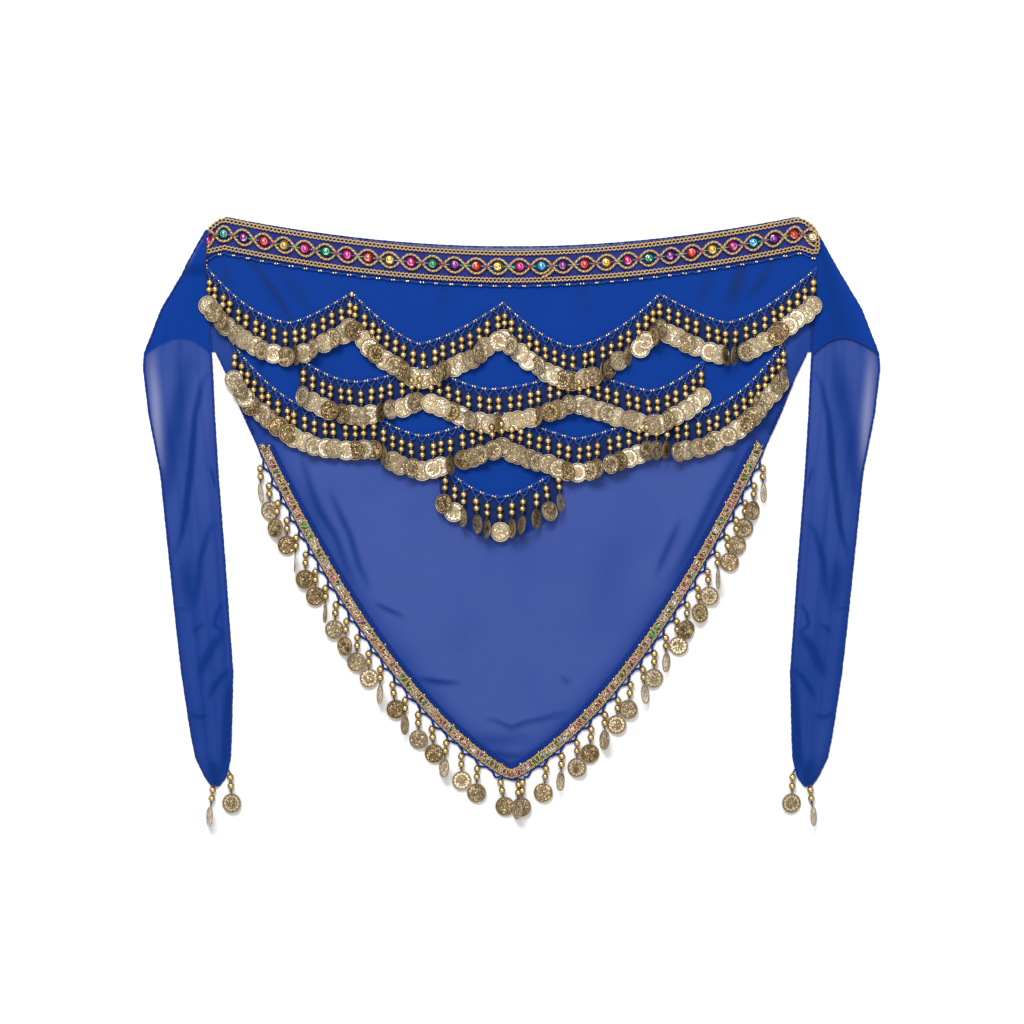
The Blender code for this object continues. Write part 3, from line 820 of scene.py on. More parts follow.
PANEL_CREASES = [
    Crease([(-187, 65), (-181, 49), (-175, 28), (-168, 11), (-154, -11), (-140, -50)], 3.2, 0.55, 1.6),
    Crease([(-159, 28), (-150, 8), (-141, -11), (-134, -36), (-125, -55)], 2.8, 0.65, 1.4),
    Crease([(-120, -70), (-107, -76), (-94, -82)], 1.5, 0.8, 1.2),
    Crease([(-81, -136), (-62, -139), (-44, -140)], 1.8, 0.9, 1.6),
    Crease([(204, 72), (180, 30), (159, -15), (140, -50)], 3.2, 0.55, 1.6),
    Crease([(147, 2), (137, -20), (126, -46)], 2.8, 0.6, 1.4),
    Crease([(42, -134), (52, -141)], 2.0, 0.6, 1.2),
    Crease([(-25, -172), (-17, -172), (-5, -177), (0, -179), (7, -176), (13, -174), (27, -171), (38, -168),
            (49, -166)], 1.6, 0.8, 1.6),
    Crease([(-17, -200), (-4, -203), (11, -203)], 1.8, 0.6, 1.2),
    Crease([(-30, -188), (-4, -190), (20, -186)], 6.0, 0.3, 0.8),
    Crease([(-60, -120), (-40, -100), (-10, -80)], 16.0, 0.10, 0.8),
    Crease([(60, -118), (80, -60), (90, 0)], 18.0, 0.10, 0.8),
]
YOKE_CREASES = [
    Crease([(-236, 236), (-222, 222), (-208, 203), (-196, 184), (-188, 170)], 2.8, 0.8, 1.6),
    Crease([(-206, 222), (-190, 205), (-170, 180)], 4.5, 0.3, 0.9),
    Crease([(206, 234), (201, 220), (196, 206), (190, 190)], 5.0, 0.75, 1.4),
    Crease([(231, 232), (218, 212), (206, 196)], 3.0, 0.6, 1.4),
    Crease([(176, 226), (170, 208), (165, 194)], 4.0, 0.4, 1.0),
    Crease([(-252, 226), (-246, 205)], 3.0, 0.5, 0.8),
    Crease([(-60, 215), (-58, 185)], 6.0, 0.2, 0.6),
    Crease([(60, 210), (64, 180)], 7.0, 0.2, 0.6),
]
# On a tie, measured from the middle of the scarf outwards: the same folds lie mirrored in both
TIE_CREASES = [
    Crease([(266, 130), (271, 121), (274, 108), (277, 94), (278, 80), (279, 68), (280, 53), (282, 37),
            (284, 22), (286, 2), (289, -11), (294, -27)], 2.3, 1.0, 1.8),
    Crease([(281, 152), (284, 138), (287, 122), (290, 108), (293, 94), (296, 76), (298, 58), (300, 40),
            (303, 18)], 7.5, 0.5, 0.8),
    Crease([(263.5, 49.5), (261, 40), (259, 30)], 1.1, 0.6, 0.8),
    Crease([(258.4, 0.4), (263.5, -4), (266.7, -11), (270, -24), (272.6, -32), (274, -52), (276.5, -70)],
           2.6, 0.55, 1.0),
    Crease([(286, -32), (284, -52), (281, -74)], 6.0, 0.4, 0.5),
    Crease([(252, -70), (257.3, -77.4), (260, -88), (252.4, -96.7)], 1.4, 0.6, 0.8),
    Crease([(252.2, -96.7), (261.2, -107.2), (267.6, -120), (272.6, -133)], 3.2, 0.7, 1.2),
    Crease([(269, -88), (274, -91), (279, -96)], 1.7, 0.45, 0.6),
    Crease([(294, -75), (287, -75.4), (280, -75.7)], 0.9, 0.4, 0.4),
    Crease([(245.8, -127.8), (253.5, -134), (260, -143), (265, -153)], 2.2, 0.6, 1.0),
    Crease([(281, -166.7), (272.7, -170), (265, -167.6)], 1.3, 0.6, 0.8),
    Crease([(245.5, -138), (247, -158), (248.5, -178), (250, -198), (253, -218)], 3.4, 0.9, 0.6),
    Crease([(264, -208), (260, -217), (259, -229)], 4.5, 0.8, 0.8),
]
TIE_PALE_STRIP = [(314, 154), (314, 135), (312, 112), (310.5, 90), (308.5, 65), (306, 42)]


def slow_waves(x, y, size):
    """Gentle unevenness of a cloth that lies on a table."""
    return size * (
        np.sin(x / 31.0 + 1.3 * np.sin(y / 47.0)) + 0.7 * np.sin(y / 26.0 + x / 83.0 + 1.0)
        + 0.5 * np.sin(x / 13.0 - y / 19.0 + 2.0)
    )


def painted_shade_behind_coins(x, y):
    """How much painted shade the cloth has behind each row, from its string to the coins' feet, where the
    beads and coins shade it.
    """
    deepest = np.zeros_like(x)
    for swags in COIN_ROWS.values():
        below = swag_line(swags, x) - y
        inside = smooth_step((below + 1.5) / 4.0) * smooth_step((COIN_REACH - 1.0 - below) / 9.0)
        deepest = np.fmax(deepest, np.where(np.isnan(inside), 0.0, inside))
    return 0.8 * deepest


def make_panels(finishes):
    def main_place(u, v):
        x = -PANEL_HALF_WIDTH + 2 * PANEL_HALF_WIDTH * u
        y = body_bottom(x) + (cloth_top(x) - body_bottom(x)) * v
        free = smooth_step((yoke_bottom(x) - 4.0 - y) / 20.0)
        edge = smooth_step((y - v_line(x)) / (14.0 * v_stretch(x)))
        lift = (creased(PANEL_CREASES, x, y)[0] + slow_waves(x, y, 0.35) + 0.5) * free * edge
        return inside_ties(x, y), y, PANEL_Z + np.maximum(lift, 0.0)

    def main_crowd(x, y):
        from_braid = (y - v_line(x)) / v_stretch(x)
        folds = creased(PANEL_CREASES, x, y)[1]
        thick = folds + 0.45 * np.exp(-((np.maximum(from_braid, 0) / 16.0) ** 2))
        above_band = smooth_step((y - band_middle(x) - 10.0) / 3.0)
        # The third part is painted shade in the creases.
        return np.clip(thick, 0, 1), 0.8 * above_band, np.clip(0.33 * folds, 0, 1)

    main = laid_cloth(
        "main_panel_cloth", 225, 190, main_place, main_crowd, finishes["chiffon"], ["main_panel"]
    )

    def yoke_place(u, v):
        x = -PANEL_HALF_WIDTH + 2 * PANEL_HALF_WIDTH * u
        top = np.minimum(band_middle(x) + 13.0, cloth_top(x) - 1.5)
        y = yoke_bottom(x) + (top - yoke_bottom(x)) * v
        free = smooth_step((band_middle(x) - 20.0 - y) / 16.0)
        lift = creased(YOKE_CREASES, x, y)[0] * free
        return inside_ties(x, y), y, YOKE_Z + np.maximum(lift, 0.0)

    def yoke_crowd(x, y):
        folds = creased(YOKE_CREASES, x, y)[1]
        # The third part is painted shade, behind the coin rows and in the creases.
        return np.clip(0.2 + folds, 0, 1), np.zeros_like(x), np.clip(painted_shade_behind_coins(x, y) + 0.66 * folds, 0, 1)

    yoke = laid_cloth("yoke_cloth", 260, 90, yoke_place, yoke_crowd, finishes["chiffon"], ["yoke_panel"])


def make_ties(finishes):
    """Both ties, each a strip and the part folded under or over it; gives the lines of their hems."""
    top, tip = TIE_SECTIONS[-1][0], TIE_SECTIONS[0][0]
    hems = []
    for side, name, on_top in ((-1, "left", True), (1, "right", False)):
        def strip_place(u, v, side=side, on_top=on_top):
            y = tip + (top - tip) * v
            inner, outer = tie_edges(y)
            x = inner + (outer - inner) * u
            base = 1.5 * smooth_step((y - EXTENSION_LOW) / STEP_LENGTH + 1.5) if on_top else 0.0
            base += 7.0 * smooth_step((y - 214.0) / 14.0) if on_top else 0.0
            free = smooth_step((EXTENSION_LOW - 8.0 - y) / 20.0) * np.sin(np.pi * np.clip(u, 0, 1)) ** 0.5
            lift = 0.5 * np.sin(9.0 * u + 5.0 * v + side) + 0.3 * np.sin(17.0 * u - 9.0 * v + 1.0) + 0.7
            lift += creased(TIE_CREASES, x, y)[0]
            return side * x, y, PANEL_Z + base + np.maximum(lift, 0.0) * free

        def strip_crowd(x, y, side=side):
            inner, outer = tie_edges(y)
            u, v = (np.abs(x) - inner) / (outer - inner), (y - tip) / (top - tip)
            low = smooth_step((130.0 - y) / 300.0)
            streaks = np.maximum(0, np.sin(13.0 * u + 3.0 * v + side)) ** 3
            streaks += np.maximum(0, np.sin(23.0 * u - 4.0 * v)) ** 4
            folds = creased(TIE_CREASES, np.abs(x), y)[1]
            thick = 0.15 + 0.3 * low + 0.12 * streaks + folds
            pale = crease_mask(np.abs(x), y, TIE_PALE_STRIP, 5.0)
            # The third part is painted shade in the creases.
            return np.clip(thick * (1 - pale), 0, 1), 0.55 * pale, 0.28 * np.clip(folds, 0, 1)

        strip = laid_cloth(
            f"{name}_tie_cloth", 44, 300, strip_place, strip_crowd, finishes["chiffon"], [f"{name}_tie_strip"]
        )

        def extension_place(u, v, side=side, on_top=on_top):
            low = EXTENSION_LOW + EXTENSION_ARCH * np.sin(np.pi * np.clip(u, 0, 1)) ** 0.8
            y = low + (top - low) * v
            inner, outer = tie_edges(y)
            inset = 0.6 * (1 - v)
            x = inner + inset + (outer - inner - 2 * inset) * u
            return side * x, y, (0.0 if on_top else 1.5) + PANEL_Z

        def extension_crowd(x, y):
            inner, outer = tie_edges(y)
            u = (np.abs(x) - inner) / (outer - inner)
            thick = 0.5 + 0.45 * np.exp(-(((u - 0.45) / 0.2) ** 2)) - 0.5 * smooth_step((u - 0.75) / 0.15)
            return np.clip(thick, 0, 1), np.zeros_like(x), np.zeros_like(x)

        extension = laid_cloth(
            f"{name}_tie_extension_cloth", 30, 60, extension_place, extension_crowd,
            finishes["chiffon"], [f"{name}_tie_extension"],
        )
        v = np.linspace(0, 1, 320)
        for u in (0.0, 1.0):
            hems.append(np.stack(np.broadcast_arrays(*strip_place(np.full_like(v, u), v)), axis=1))
        u = np.linspace(0, 1, 60)
        hems.append(np.stack(np.broadcast_arrays(*strip_place(u, np.zeros_like(u))), axis=1))
        hems.append(np.stack(np.broadcast_arrays(*extension_place(u, np.zeros_like(u))), axis=1))
    return hems


def make_hems(finishes, tie_hems):
    """Rolled hems: a thin roll of cloth along every cut edge."""
    x = np.linspace(-PANEL_HALF_WIDTH, PANEL_HALF_WIDTH, 500)
    top_hem = np.stack([inside_ties(x, cloth_top(x)), cloth_top(x), np.full_like(x, PANEL_Z + 0.5)], axis=1)
    lines = []
    for side in (-1, 1):
        reach = np.linspace(219.0, 262.0, 60)
        low = body_bottom(reach)
        side_hem = np.stack([side * inside_ties(reach, low), low, np.full_like(low, PANEL_Z + 0.3)], axis=1)
        lines.append((side_hem, 0.8))
    seam = np.array([(263.2, 215.0, 2.4), (263.0, 190.0, 2.4), (262.2, 162.0, 1.6), (261.6, 150.0, 1.2)])
    lines += [(top_hem, 0.65)] + [(hem, 1.0) for hem in tie_hems] + [(seam, 0.6)]
    parts = []
    for line, width in lines:
        points, along = evenly(line + (0, 0, 0.25), 1.1)
        points[:, 2] += 0.12 * np.sin(along / 2.3)
        rolled = 1 + 0.14 * np.sin(along / 0.9 + np.sin(along / 4.0)) + 0.08 * np.sin(along / 3.1)
        parts.append(tube(points, width * rolled, 5))
    x = np.linspace(-219.0, 219.0, 800)
    v_hem, _ = evenly(np.stack([x, v_line(x)], axis=1), 1.6)
    parts.append(tube(shifted(v_hem, -HEM_OUTSIDE_BRAID, PANEL_Z + 0.4), 0.6))
    joined("rolled_hems", parts, finishes["hem"])


# ---- the waist band ----

ROPE_RISE = 6.9
GOLD_SEED = (1.0, 0.95, 0.85, 0.5)
PALE_SEED = (1.2, 1.4, 2.1, 0.5)
STRING_SEED = (1.1, 1.15, 1.4, 0.5)
# Spacers are painted darker, as shade between the beads.
SPACER_PAINTED_SHADE = (0.62, 0.55, 0.45, 0.5)
# Painted shade: darkens the chains' single cords about as much as the darker strand darkens a plied cord.
CHAIN_PAINTED_SHADE = (0.84, 0.82, 0.79, 0.5)
LACE_TONE = (0.86, 0.84, 0.80, 0.5)
BAR_TONE = (0.9, 0.88, 0.85, 0.5)
LINK_LENGTH = 3.5
ROPE_PLIES = (0.55, 0.70, 3.6)
TUBES_IN_ORDER = ("green", "teal", "green", "sky", "teal", "green", "sky", "violet")
GEM_COLOURS = {
    "M": (0.62, 0.01, 0.16), "A": (0.02, 0.24, 0.25), "P": (0.17, 0.01, 0.17), "R": (0.62, 0.012, 0.008),
    "G": (0.70, 0.42, 0.04), "g": (0.02, 0.24, 0.09), "O": (0.70, 0.045, 0.008), "C": (0.04, 0.30, 0.56),
    "W": (0.75, 0.62, 0.36),
}
GEMS_IN_ORDER = "MAPRGMgMOGMgPOGMCPRGMgPOGMCPOW"
SEED_COLOURS = {
    "pink": (0.50, 0.02, 0.07), "green": (0.02, 0.45, 0.13), "teal": (0.03, 0.33, 0.28),
    "sky": (0.10, 0.30, 0.60), "violet": (0.20, 0.02, 0.30),
}


def gem_places():
    step = np.arange(GEM_COUNT) - (GEM_COUNT - 1) / 2
    x = -2.5 + 19.0 * step - 0.003 * step**3
    return np.clip(x, -266.0, 262.5)


def beside_band(x, offset):
    """Height of a line that keeps its distance from the band's middle, with its ends square to the waist."""
    slope = np.clip(band_middle(x + 0.5) - band_middle(x - 0.5), -0.25, 0.25)
    return band_middle(x) + offset * np.hypot(1.0, slope)


def band_line(offset, height, step, left, right):
    points, _ = line_over(lambda x: beside_band(x, offset), left, right, step)
    return at_height(points, height)


def make_ribbon(finishes):
    def place(u, v):
        x = -267.0 + 533.4 * u
        y = np.minimum(beside_band(x, (v - 0.5) * BAND_WIDTH), cloth_top(x) - 2.6 + 1.2 * v)
        return x, y, RIBBON_Z + 0.25 * np.sin(x / 9.0 + 3.0 * v) + 0.15 * np.sin(x / 4.0)

    def even(x, _):
        return [np.zeros_like(x)] * 3

    cloth = laid_cloth("waist_ribbon", 360, 16, place, even, finishes["ribbon"], ["waist_band"])


def make_chains(finishes):
    """Each chain is two wavy gold cords that meet and part, so that a dark hole shows in every link."""
    upper = band_line(CHAIN_OFFSET, ON_RIBBON_Z, 0.5, -254.0, 254.0)
    lower = band_line(-CHAIN_OFFSET, ON_RIBBON_Z, 0.5, -250.0, 250.0)
    bends = [
        [(-267.4, 249.5), (-265.0, 254.0), (-261.6, 258.2), (-257.8, 261.2)],
        [(257.8, 261.4), (261.4, 258.9), (264.2, 255.8), (266.1, 252.0), (267.1, 247.5), (267.4, 241.5),
         (266.8, 237.4), (264.8, 236.0), (261.2, 236.8), (256.0, 238.8)],
        [(-256.0, 239.0), (-262.0, 237.6), (-268.0, 235.9)],
    ]
    first, right, last = [at_height(bend, ON_RIBBON_Z) for bend in bends]
    line, along = evenly(np.concatenate([first, upper, right, lower[::-1], last]), 0.46)
    half_turn = np.pi * along / LINK_LENGTH
    parts = []
    for sign in (1, -1):
        offset = sign * (0.35 + 1.35 * np.abs(np.sin(half_turn)))
        wavy = shifted(line, offset, line[:, 2] + 0.3 * sign * np.cos(half_turn))
        parts.append(tube(wavy, 0.66, tint=CHAIN_PAINTED_SHADE))
    joined("waist_chains", parts, finishes["gold_thread"], replaces=["waist_chain_top", "waist_chain_bottom"])


def make_ropes(finishes):
    """Two stout twisted cords that cross between the stones and leave a lens round each."""
    places = np.concatenate([[-268.5], gem_places(), [267.0]])
    spans = [np.linspace(start, end, 50, endpoint=False) for start, end in zip(places, places[1:])]
    x = np.concatenate(spans + [[places[-1]]])
    count = np.interp(x, places, np.concatenate([[-0.13], np.arange(GEM_COUNT), [GEM_COUNT - 0.72]]))
    parts = []
    for sign in (1, -1):
        offset = sign * ROPE_RISE * np.cos(np.pi * count) * (1 - 0.06 * np.cos(2 * np.pi * count))
        height = ON_RIBBON_Z + 0.9 + sign * 0.8 * np.sin(np.pi * count)
        rope, _ = evenly(np.stack([x, beside_band(x, offset), height], axis=1), 0.66)
        parts += plied(rope, *ROPE_PLIES)
    loose_end = at_height([(26.5, 213.9), (30.0, 215.2), (33.6, 217.6), (36.8, 220.8)], ON_RIBBON_Z + 1.4)
    parts += plied(evenly(loose_end, 0.6)[0], *ROPE_PLIES, sides=8)
    joined("waist_ropes", parts, finishes["gold_thread"])


def make_stones(finishes, shapes):
    """A stone in each window, with a glass tube on its thread either side and a seed over most crossings."""
    places = gem_places()
    middle = band_middle(places)
    turns, tips = chance.normal(0, 0.05, GEM_COUNT), chance.normal(0, 0.05, GEM_COUNT)
    spins = chance.uniform(0, 6, GEM_COUNT)
    stones = [
        placed(x, y, ON_RIBBON_Z - 0.3, turn=turn, tip=tip, spin=spin)
        for x, y, turn, tip, spin in zip(places, middle, turns, tips, spins)
    ]
    colours = [(*GEM_COLOURS[letter], 1.0) for letter in GEMS_IN_ORDER]
    joined(
        "waist_stones", [copies(gem_shape(), stones, colours)], finishes["gems"],
        replaces=[f"gem_{i + 1:02d}" for i in range(GEM_COUNT)],
    )
    seeds, seed_tints, tubes, tube_tints = [], [], [], []
    for i, x in enumerate(places):
        for side in (-1, 1):
            if not 0 <= i + side < GEM_COUNT:
                continue
            gap = abs(places[i + side] - x) / 2
            at = x + side * (GEM_RADIUS + gap - 1.6) / 2
            lean = math.atan(float(band_middle(at + 0.5) - band_middle(at - 0.5)))
            size = (max((gap - 1.6 - GEM_RADIUS) / 2, 0.6), 0.55, 0.55)
            tubes.append(placed(at, band_middle(at), ON_RIBBON_Z + 0.6, lean=lean, scale=size))
            tube_tints.append((*SEED_COLOURS[TUBES_IN_ORDER[(2 * i + (side > 0)) % len(TUBES_IN_ORDER)]], 1.0))
        if i + 1 < GEM_COUNT and i * 7 % 5 < 3:
            cross = (x + places[i + 1]) / 2
            for lift, way in ((3.0, -0.7), (3.2, 0.5)):
                size = (1.05, 1.3, 0.9)
                seeds.append(placed(cross + way, band_middle(cross), ON_RIBBON_Z + lift, scale=size))
                seed_tints.append((*SEED_COLOURS["pink"], 1.0))
    seeds.append(placed(1.8, band_middle(1.8) - 1.0, ON_RIBBON_Z + 1.0, scale=(1.5, 1.5, 1.4)))
    seed_tints.append((*SEED_COLOURS["green"], 1.0))
    small = [copies(shapes["seed"], seeds, seed_tints), copies(shapes["bugle"], tubes, tube_tints)]
    joined("waist_seeds", small, finishes["glass"])


def make_waist_cord(finishes, shapes):
    line = band_line(-WAIST_CORD_OFFSET + 0.4, ON_YOKE_Z + 0.6, 0.9, -267.0, 264.0)
    joined("waist_crochet", plied(line, 0.62, 0.6, 3.6), finishes["dark_crochet"], replaces=["waist_cord"])
    wander = -0.5 + 0.5 * np.sin(line[:, 0] / 1.3)
    bright = plied(shifted(line, wander, line[:, 2] + 0.9), 0.26, 0.34, 2.8, 4)
    joined("waist_crochet_thread", bright, finishes["crochet"])
    points, _ = evenly(shifted(line, -0.5, line[:, 2] + 0.9), 12.8)
    seeds = [
        placed(x + way + chance.normal(0, 0.3), y, z, scale=(1.05, 1.0, 0.9))
        for x, y, z in points for way in (-1, 1)
    ]
    joined("waist_cord_seeds", [copies(shapes["seed"], seeds, PALE_SEED)], finishes["beads"])


# ---- beads and coins on a string ----

BEAD_RADIUS = 3.1
BEAD_PITCH = 6.2
COIN_RADIUS = 8.6
COIN_WALL = 0.9
TOP_BEAD_DROP = 10.2
OVER_STRINGS = 2.3


class Hangers:
    """Collects beads, spacers, rings and coins, and makes each kind one part."""

    def __init__(self):
        self.beads, self.spacers, self.rings, self.coins, self.tones, self.knots = [], [], [], [], [], []

    def add(self, x, y, ground, lean, turn, tone, rough, pitch=BEAD_PITCH, coin_from_bead=13.9, over=0.0):
        """Hang a pair of beads and a coin whose top bead's middle is at x, y."""
        down = np.array([math.sin(lean), -math.cos(lean)])
        top = np.array([x, y])
        radius = BEAD_RADIUS * chance.uniform(0.95, 1.05)
        bead_z = ground + radius
        for k in range(2):
            size = (radius, radius * 0.97, radius)
            self.beads.append(placed(*(top + down * pitch * k), bead_z, lean=lean, scale=size))
        for away in (-pitch / 2, pitch / 2, pitch * 1.5 + 0.25):
            self.spacers.append(placed(*(top + down * away), bead_z, lean=lean, scale=(1.3, 0.75, 1.3)))
        coin = top + down * (pitch + coin_from_bead)
        half = COIN_RADIUS * abs(math.sin(turn))
        z = ground + half + COIN_WALL / 2 + over * math.cos(turn) ** 2
        link = coin - down * (COIN_RADIUS + 0.7)
        link_z = (bead_z + z) / 2
        self.rings.append(placed(*link, link_z, lean=lean, turn=math.pi / 2 - 0.4))
        low = top + down * (pitch + radius * 0.8)
        knot = np.array([[*low, bead_z], [*((low + link) / 2), bead_z + 0.3], [*link, link_z + 0.3]])
        self.knots += plied(evenly(knot, 0.7)[0], 0.42, 0.5, 2.0, 5)
        tip, spin = chance.normal(0, 0.04), chance.uniform(0, 6.28)
        self.coins.append(placed(*coin, z, lean=lean * 1.2, turn=turn, tip=tip, spin=spin))
        self.tones.append((tone, rough, 0.0, chance.uniform(0, 1)))

    def gold_parts(self, shapes):
        return [
            copies(shapes["bead"], self.beads, GOLD_SEED),
            copies(shapes["spacer"], self.spacers, SPACER_PAINTED_SHADE),
            copies(shapes["ring"], self.rings, GOLD_SEED),
        ]

    def hang_coins(self, name, finishes, shapes, replaces=()):
        coins = [copies(shapes["coin"], self.coins, self.tones)]
        joined(name, coins, finishes["coins"], smooth=False, replaces=replaces)


ROW_SPACING = {"coin_row_1": 8.9, "coin_row_2": 8.9, "coin_row_3": 8.9, "coin_row_4": 10.4}


def coin_turn(name, way):
    """How far a coin has turned on its string, how bright it is painted for the light that turn catches,
    varied at random, and how rough it is. Most lie nearly flat.
    """
    pick = chance.uniform()
    edge_on = 0.72 if name == "coin_row_4" else 0.08
    if pick < edge_on:
        degrees, tone, rough = chance.uniform(62, 70), chance.uniform(0.0, 0.25), chance.uniform(0.3, 0.9)
    elif pick < edge_on + 0.2:
        degrees, tone, rough = chance.uniform(28, 52), chance.uniform(0.0, 0.6), chance.uniform(0.2, 0.8)
    elif pick < edge_on + 0.55:
        degrees, tone, rough = chance.uniform(1, 7), chance.uniform(0.8, 1.0), chance.uniform(0.0, 0.6)
    else:
        degrees, tone = chance.uniform(8, 20), chance.choice([0.05, 0.35, 0.6, 0.8])
        rough = chance.uniform(0.1, 0.8)
    return way * math.radians(degrees), tone, rough


def row_threads(line, along, pitch):
    """A crochet string of two swaying threads, and the zigzag thread that hangs from it."""
    phase = 2 * np.pi * along / pitch
    threads = []
    for sign in (1, -1):
        height = ON_YOKE_Z + 1.0 + 0.3 * sign * np.cos(phase)
        strand = shifted(line, sign * (0.75 * np.sin(phase) + 0.3), height)
        threads += plied(strand, 0.34, 0.46, 2.8, 4)
    swing = (0.5 - 0.5 * np.cos(phase)) ** 0.85
    fall = 0.6 + (TOP_BEAD_DROP - BEAD_RADIUS - 2.4) * swing
    zigzag = np.column_stack([line[:, 0], line[:, 1] - fall, ON_YOKE_Z + 0.8 + 0.8 * swing])
    return threads + plied(zigzag, 0.32, 0.44, 2.8, 4)


def make_rows(finishes, shapes):
    for name, swags in COIN_ROWS.items():
        line, along = line_over(lambda x: swag_line(swags, x), swags[0].left_x, swags[-1].right_x, 0.8)
        keep = ~np.isnan(line[:, 1])
        line, along = line[keep], along[keep]
        limit = tie_edges(line[:, 1])[0] - 1.0
        line[:, 0] = np.clip(line[:, 0], -limit, limit)
        slope = np.gradient(line[:, 1]) / np.maximum(np.gradient(line[:, 0]), 1e-6)
        count = int(along[-1] / ROW_SPACING[name])
        pitch = along[-1] / count
        threads = row_threads(line, along, pitch)
        hangers = Hangers()
        middles = (np.arange(count) + 0.5) * pitch + np.clip(chance.normal(0, 0.8, count), -1.6, 1.6)
        way, run = 1, 0
        for (x, y), steep in zip(places_at(middles, along, line), np.interp(middles, along, slope)):
            run -= 1
            if run <= 0:
                way, run = -way, int(chance.integers(4, 9))
            lean = math.radians(chance.normal(0, 3.0)) + 0.03 * steep
            turn, tone, rough = coin_turn(name, way)
            y -= TOP_BEAD_DROP + chance.normal(0, 0.5)
            stem = np.array([[x, y + 4.6, ON_YOKE_Z + 1.6], [x, y + 2.2, ON_YOKE_Z + 2.6]])
            threads += plied(evenly(stem, 0.7)[0], 0.4, 0.5, 2.0, 5)
            hangers.add(x, y, ON_YOKE_Z, lean, turn, tone, rough, over=OVER_STRINGS)
        joined(f"{name}_string", threads, finishes["crochet"])
        joined(f"{name}_knots", hangers.knots, finishes["dark_crochet"])
        seeds = []
        pairs = (np.arange(count) + 0.02) * pitch
        for (x, y), angle in zip(places_at(pairs, along, line), np.arctan(np.interp(pairs, along, slope))):
            for step in (-1.15, 1.15):
                place = (x + step * math.cos(angle), y + step * math.sin(angle), ON_YOKE_Z + 1.6)
                seeds.append(placed(*place, lean=angle, scale=(1.05, 1.2, 1.1)))
        if name == "coin_row_1":
            peak = swags[0]
            seeds.append(placed(peak.right_x, peak.right_y - 1.5, ON_YOKE_Z + 2.4, scale=(2.0, 2.9, 2.0)))
        gold = hangers.gold_parts(shapes) + [copies(shapes["seed"], seeds, STRING_SEED)]
        joined(f"{name}_beads", gold, finishes["beads"])
        hangers.hang_coins(f"{name}_coins", finishes, shapes, [name])


# ---- the edge of the V ----

# One letter a coin down the left side: F full face, T three-quarter turned, H half turned, E on edge
LEFT_COINS = "HFTFEFFEFTFFHFHFFHFFF"
RIGHT_COINS = "FFHFFHFFHFHFTTFEFFFTH"


def v_points(step):
    return line_over(v_line, -BRAID_HALF_RUN, BRAID_HALF_RUN, step)


WINDOW_COLOURS = {
    "white": (0.90, 0.87, 0.85), "ice": (0.58, 0.78, 0.84), "pink": (0.66, 0.13, 0.28),
    "rose": (0.80, 0.45, 0.52), "green": (0.03, 0.38, 0.12), "violet": (0.36, 0.13, 0.40),
    "red": (0.45, 0.05, 0.05), "teal": (0.04, 0.17, 0.15),
}
# Windows along the braid, each a cluster of one or two colours
WINDOWS = [pair.split() for pair in (
    "white rose", "violet rose", "teal white", "green rose", "rose teal", "pink white", "rose violet",
    "violet white", "green green", "green white", "white white", "teal ice", "white ice", "white rose",
    "pink rose", "ice teal", "white pink", "red white",
)]


